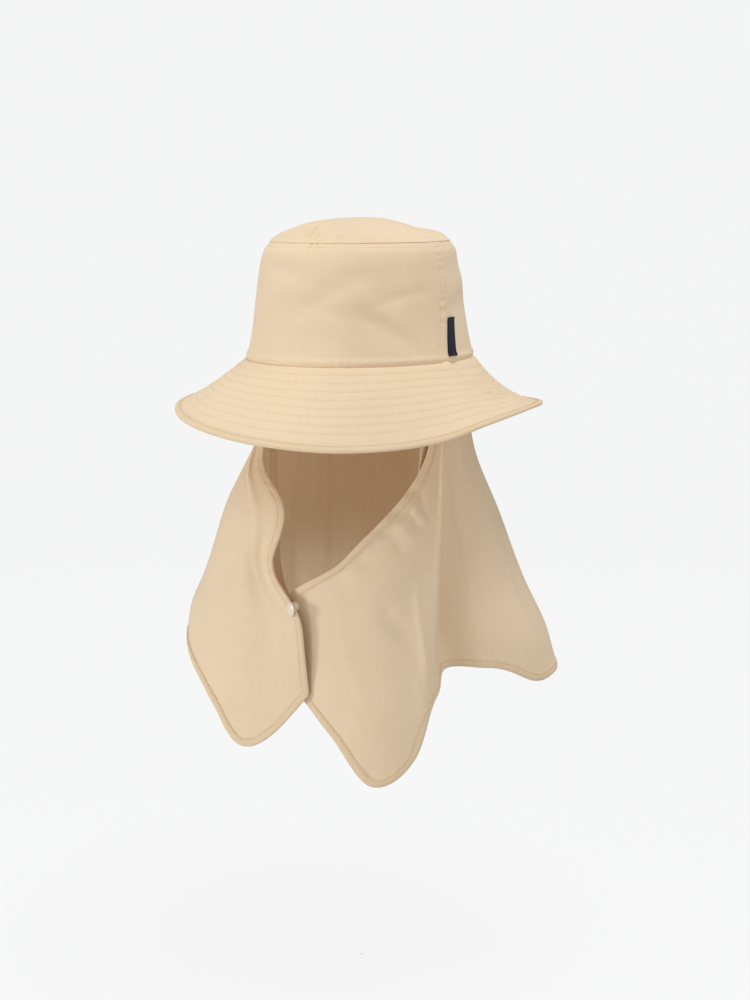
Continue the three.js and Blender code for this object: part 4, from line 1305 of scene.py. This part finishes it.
def chin_strap():
    route, twist = strap_route()
    knots = np.sqrt(np.linalg.norm(np.diff(route, axis=0), axis=-1))
    knots = np.concatenate([[0], np.cumsum(knots)])
    t = np.linspace(0, knots[-1], 241)
    line = np.stack([smooth(t, knots, route[:, k]) for k in range(3)], -1)
    turn = np.radians(smooth(t, knots, twist))
    run = unit(np.gradient(line, axis=0))
    outward = unit(np.cross(np.stack([np.sin(turn), np.cos(turn), 0 * turn], -1), run))
    across = np.cross(run, outward)
    section = strap_section() / 2 * [STRAP_WIDTH, STRAP_THICKNESS]
    rings = np.stack([line + across * x + outward * y for x, y in section], 1)
    along = length_along(line)
    flat = (along[:, None], np.append(section[:, 0], section[0, 0])[None, :])
    strap = tube_mesh("chin_strap_tape", rings, flat, closed=False)
    finish_piece(strap, strap_tape, "binding_tape", "chin_strap")


chin_strap()

# %% [markdown]
# ## Side label and snap
# The label is a bare tab of navy tape, sewn flat on the crown behind the left seam, a little nearer the
# seam and more slanted than its solid. The snap has a domed cap outside and a turned socket between the
# flaps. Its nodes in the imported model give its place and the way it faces. The cap is moved towards the
# flap's edge and tilted with the cloth, which bulges round the closed snap.

# %% Sew on the label
LABEL_WIDTH = 12 * MM
LABEL_HEIGHT = 30 * MM
LABEL_RISE = 3 * MM
LABEL_BACK = 8.2 * MM
LABEL_LEAN = 4.4
LABEL_PLY = 0.8 * MM
LABEL_LIFT = 1.1 * MM
LABEL_CURL = 0.5 * MM


def side_label():
    per_metre = math.degrees(2 / HEAD_LENGTH)
    start = LEFT_SEAM - (LABEL_BACK + LABEL_WIDTH) * per_metre
    across = np.linspace(0, LABEL_WIDTH, 13)[:, None]
    up = np.linspace(0, LABEL_HEIGHT, 37)[None, :]
    deg = start + across * per_metre - LABEL_LEAN * up / LABEL_HEIGHT
    share = (LABEL_RISE + up) / CROWN_HEIGHT + 0 * across
    curl = LABEL_CURL * np.maximum(bump(up, 3 * MM), bump(LABEL_HEIGHT - up, 2 * MM))
    points = crown_cloth.line(deg, share, (LABEL_LIFT + curl)[..., None])[0]
    label = sheet_from("side_label_tab", points, (across, up))
    finish_sheet(label, away_from_axis, LABEL_PLY, label_tape, "label_tape", "side_label")


side_label()

# %% Turn the snap
SNAP_WIDTH = 11.5 * MM
CAP_SHIFT = 4.5 * MM
CAP_TILT = 0.25
CAP_BACK = -1.2 * MM
CAP_DOME = 1.1 * MM
CAP_ROUNDING = 0.55 * MM
POLE = 0.0001 * MM
SOCKET_PROFILE = table(
    "radius_mm depth",
    (4.0, -1.0),
    (4.3, -0.5),
    (3.4, -0.2),
    (3.4, 0.2),
    (4.2, 0.5),
    (3.9, 1.0),
)


def middle_of(corners):
    return (corners.min(0) + corners.max(0)) / 2


def snap_axis():
    """The middle of the cap's node and the way it faces, found from the node's own shape."""
    corners = corners_of(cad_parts["snap_cap"])
    middle = middle_of(corners)
    facing = np.linalg.svd(np.unique(np.round(corners, 6), axis=0) - middle)[2][-1]
    return middle, facing if facing[1] < 0 else -facing


def turned(name, profile, middle, facing, material, node):
    """A lathe shape: a profile of radius and height, spun about the snap's axis."""
    turn = np.linspace(0, 2 * math.pi, 49)[:, None]
    radius, height = np.array(profile).T[:, None, :]
    side = unit(np.cross(facing, [0, 0, 1.0]))
    up = np.cross(side, facing)
    spoke = np.cos(turn)[..., None] * side + np.sin(turn)[..., None] * up
    points = middle + radius[..., None] * spoke + height[..., None] * facing
    points[-1] = points[0]
    obj = sheet_from(name, points, (turn * radius, height + 0 * turn), closed=True)
    close_skin(obj, 35)
    finish_piece(obj, material, "snap_plastic", node)


def button_profile(radius, low, high, rounding):
    """A round-edged disc: out along its back, round its rim and in over a low dome."""
    inner = radius - rounding
    rim = [
        (inner + rounding * math.sin(t), low + rounding - rounding * math.cos(t))
        for t in np.linspace(0, math.pi * 0.75, 7)
    ]
    rim_share = rim[-1][0] / radius
    dome = [
        (radius * share, high - (high - rim[-1][1]) * (share / rim_share) ** 2.2)
        for share in np.linspace(rim_share * 0.97, POLE / MM, 10)
    ]
    return [(POLE, low), (inner, low)] + rim + dome


def snap():
    middle, facing = snap_axis()
    to_edge = unit(np.cross([0, 0, 1.0], facing))
    to_edge = to_edge * np.sign(to_edge[0])
    tilted = unit(facing - CAP_TILT * to_edge)
    cap = button_profile(SNAP_WIDTH / 2, CAP_BACK, CAP_DOME, CAP_ROUNDING)
    turned("snap_cap_button", cap, middle + CAP_SHIFT * to_edge, tilted, acetal, "snap_cap")
    corners = corners_of(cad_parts["snap_socket"])
    depth = float(np.ptp(corners @ facing)) / 2
    ring_profile = [(row["radius_mm"] * MM, row["depth"] * depth) for row in rows_of(SOCKET_PROFILE)]
    socket = [(POLE, -depth), *ring_profile, (POLE, depth)]
    turned("snap_socket_ring", socket, middle_of(corners), facing, acetal, "snap_socket")


snap()

# %% [markdown]
# ## Stitches
# A lockstitch shows as short dashes of thread that dip into the cloth at each end. One stitch is a small
# sphere primitive drawn out along the seam. It is modelled once, and its copies are set out in one mesh by
# arrays, because the hat has thousands of them.

# %% Model one stitch and lay out rows of them
STITCH_LENGTH = 2.9 * MM
STITCH_DASH = 0.74 * STITCH_LENGTH
STITCH_THICK = 0.36 * MM
STITCH_HEIGHT = 0.7 * STITCH_THICK
TAPE_ROW = 0.80 * BINDING_WIDTH


def one_stitch():
    """Corners and faces of a stitch of length 1 along X and thickness 1."""
    deselect()
    bpy.ops.mesh.primitive_uv_sphere_add(segments=6, ring_count=4, radius=0.5, rotation=(0, math.pi / 2, 0))
    obj = bpy.context.object
    bpy.ops.object.transform_apply(rotation=True)
    corners = corners_of(obj)
    faces = [list(p.vertices) for p in obj.data.polygons]
    bpy.data.objects.remove(obj)
    return corners, faces


STITCH_CORNERS, STITCH_FACES = one_stitch()


def stitch_frames(line, normal):
    """The place and the three directions of each stitch along a line on the cloth."""
    length = length_along(line)
    count = max(int(length[-1] / STITCH_LENGTH), 1)
    middles = (np.arange(count) + 0.5) * length[-1] / count
    knots = np.arange(len(line))
    index = np.interp(middles, length, knots)

    def at_stitches(values):
        return np.stack([np.interp(index, knots, values[:, k]) for k in range(3)], -1)

    run = unit(at_stitches(np.gradient(line, axis=0)))
    side = unit(np.cross(unit(at_stitches(normal)), run))
    return at_stitches(line), np.stack([run, side, unit(np.cross(run, side))], 1)


def stitches(name, rows, slot):
    """One mesh that holds every stitch of some rows. A row is a line of points and its normals."""
    frames = [stitch_frames(*row) for row in rows]
    places = np.concatenate([place for place, _ in frames])
    directions = np.concatenate([ways for _, ways in frames])
    shape = STITCH_CORNERS * [STITCH_DASH, STITCH_THICK, STITCH_HEIGHT]
    points = places[:, None] + shape @ directions
    count = len(STITCH_CORNERS)
    faces = [[corner + count * k for corner in face] for k in range(len(places)) for face in STITCH_FACES]
    mesh = bpy.data.meshes.new(name)
    mesh.from_pydata(points.reshape(-1, 3).tolist(), [], faces)
    mesh.update()
    obj = bpy.data.objects.new(name, mesh)
    bpy.context.scene.collection.objects.link(obj)
    activate(obj)
    bpy.ops.object.shade_smooth()
    finish_piece(obj, thread, slot)
    print(name, "has", len(places), "stitches")
    return obj


# %% Stitch the brim
ON_QUILT = 0.61 * MM


def brim_stitch_row(k, face):
    """A row of quilting on the brim's upper face (1) or lower face (-1)."""
    deg = np.linspace(0, 360, 1401)
    out = quilt_row(k) + quilt_wobble(deg * QUILT_MM_PER_DEG, k) / BRIM_SLANT
    return brim_cloth.line(deg, out, ON_QUILT, face)


def brim_tape_row(face):
    deg = np.linspace(0, 360, 1401)
    return brim_cloth.line(deg, 1 - TAPE_ROW / BRIM_SLANT + 0 * deg, BRIM_SEAT + TAPE, face)


for face, name in ((1, "brim_quilting_top"), (-1, "brim_quilting_under")):
    stitches(name, [brim_stitch_row(k, face) for k in range(QUILT_ROWS)], "hat_cloth")
stitches("brim_tape_stitches", [brim_tape_row(1), brim_tape_row(-1)], "binding_tape")

# %% Stitch the cape's tape
def cape_tape_row(face):
    places, _, inward, normal = cape_edge(1.2 * MM)
    line = cape_cloth(*on_cape(places, inward, TAPE_ROW))
    return line + normal * face * (CAPE_SEAT + TAPE), normal * face


cape_stitches = stitches("cape_tape_stitches", [cape_tape_row(1), cape_tape_row(-1)], "binding_tape")

# %% Topstitch the crown
ON_CROWN = 0.5 * MM


def seam_rows(seam):
    """Two rows beside a side seam."""
    share = np.linspace(0.03, 0.965, 200)
    sides = (-TOPSTITCH_OFFSET / MM_PER_DEG, TOPSTITCH_OFFSET / MM_PER_DEG)
    return [crown_cloth.line(seam(share) + side, share, ON_CROWN) for side in sides]


def top_row():
    """One row just below the tip seam, right round."""
    deg = np.linspace(0, 360, 1201)
    return crown_cloth.line(deg, 1 - TOP_ROW / CROWN_HEIGHT + 0 * deg, ON_CROWN)


crown_rows = seam_rows(left_seam) + seam_rows(right_seam) + [top_row()]
stitches("crown_topstitching", crown_rows, "hat_cloth")

def mesh_area(surface):
    """The area of the hung cloth, one face of it."""
    at = np.linspace(0, 1, 300)[:, None]
    down = np.linspace(0, 1, 120)[None, :]
    p = surface(*np.broadcast_arrays(at, down))
    u = np.diff(p, axis=0)[:, :-1]
    v = np.diff(p, axis=1)[:-1]
    return float(np.linalg.norm(np.cross(u, v), axis=-1).sum())


print("The hung cape measures", round(mesh_area(cape_cloth), 4), "square metres")

# %% [markdown]
# ## Studio
# The hat is held up in front of a pale seamless sweep, lit softly from the left, from above and, weakly,
# from below and the right. The sweep is a bowl, so that it also closes the view from the sides and the
# back. A faint warm lamp in the hollow stands for light that the cloth throws from side to side in there.
# No lamp shows itself to the camera.

# %% Build the pale sweep
FLOOR_Z = -0.52
SWEEP_RADIUS = 3.2
SWEEP_CORNER = 1.2
SWEEP_HEIGHT = 4.0


def seamless_paper():
    """Matt white paper that also glows a little, as an overlit backdrop does."""
    material, tree = new_material("seamless_paper_white")
    end_material(tree, {
        "Base Color": srgb("5a5a5a"),
        "Roughness": 0.95,
        "Specular IOR Level": 0.0,
        "Emission Color": srgb("f5f5f5"),
        "Emission Strength": 0.93,
    })
    return material


def sweep():
    bend = np.linspace(0, math.pi / 2, 12)[1:]
    flat_reach = SWEEP_RADIUS - SWEEP_CORNER
    floor = [0.001, *np.linspace(0.5, flat_reach, 4)]
    radius = np.array([*floor, *(flat_reach + SWEEP_CORNER * np.sin(bend)), SWEEP_RADIUS])
    height = FLOOR_Z + np.array([*(5 * [0]), *(SWEEP_CORNER * (1 - np.cos(bend))), SWEEP_HEIGHT])
    a = np.linspace(0, 2 * math.pi, 97)[:, None]
    points = np.stack([radius * np.cos(a), radius * np.sin(a), height + 0 * a], -1)
    bowl = sheet_from("paper_sweep", points, (a * radius, height + 0 * a), closed=True)
    activate(bowl)
    bpy.ops.object.shade_smooth()
    bowl.data.materials.append(seamless_paper())
    bowl.visible_diffuse = False
    bowl.visible_glossy = False
    bowl.visible_shadow = False


sweep()

# %% Light the hat
HAT_MIDDLE = (0.0, 0.0, -0.08)
INSIDE_FRONT = (0.03, -0.05, 0.0)
INSIDE_LEFT = (-0.08, 0.03, -0.16)


def soft_box(name, size, place, watts, target=HAT_MIDDLE, colour="f9fbff"):
    deselect()
    bpy.ops.object.light_add(type="AREA", location=place)
    light = bpy.context.object
    light.name = name
    light.data.shape = "DISK"
    light.data.size = size
    light.data.energy = watts
    light.data.color = srgb(colour)[:3]
    light.rotation_euler = (Vector(target) - Vector(place)).to_track_quat("-Z", "Y").to_euler()
    light.visible_camera = False


def room_light(strength):
    world = bpy.data.worlds.new("studio_room")
    bpy.context.scene.world = world
    world.use_nodes = True
    background = world.node_tree.nodes["Background"]
    background.inputs["Color"].default_value = srgb("f8faff")
    background.inputs["Strength"].default_value = strength


soft_box("key_left", 0.5, (-1.35, -1.3, 0.0), 11)
soft_box("low_front", 0.8, (-0.35, -1.6, -0.8), 6)
soft_box("fill_right", 1.0, (1.6, -0.7, 0.2), 5.2)
soft_box("top", 0.9, (0.35, -0.1, 1.7), 16.5)
soft_box("glow_inside", 0.04, INSIDE_FRONT, 0.02, INSIDE_LEFT, "ffb978")
room_light(0.51)
bpy.context.scene.view_settings.view_transform = "Standard"
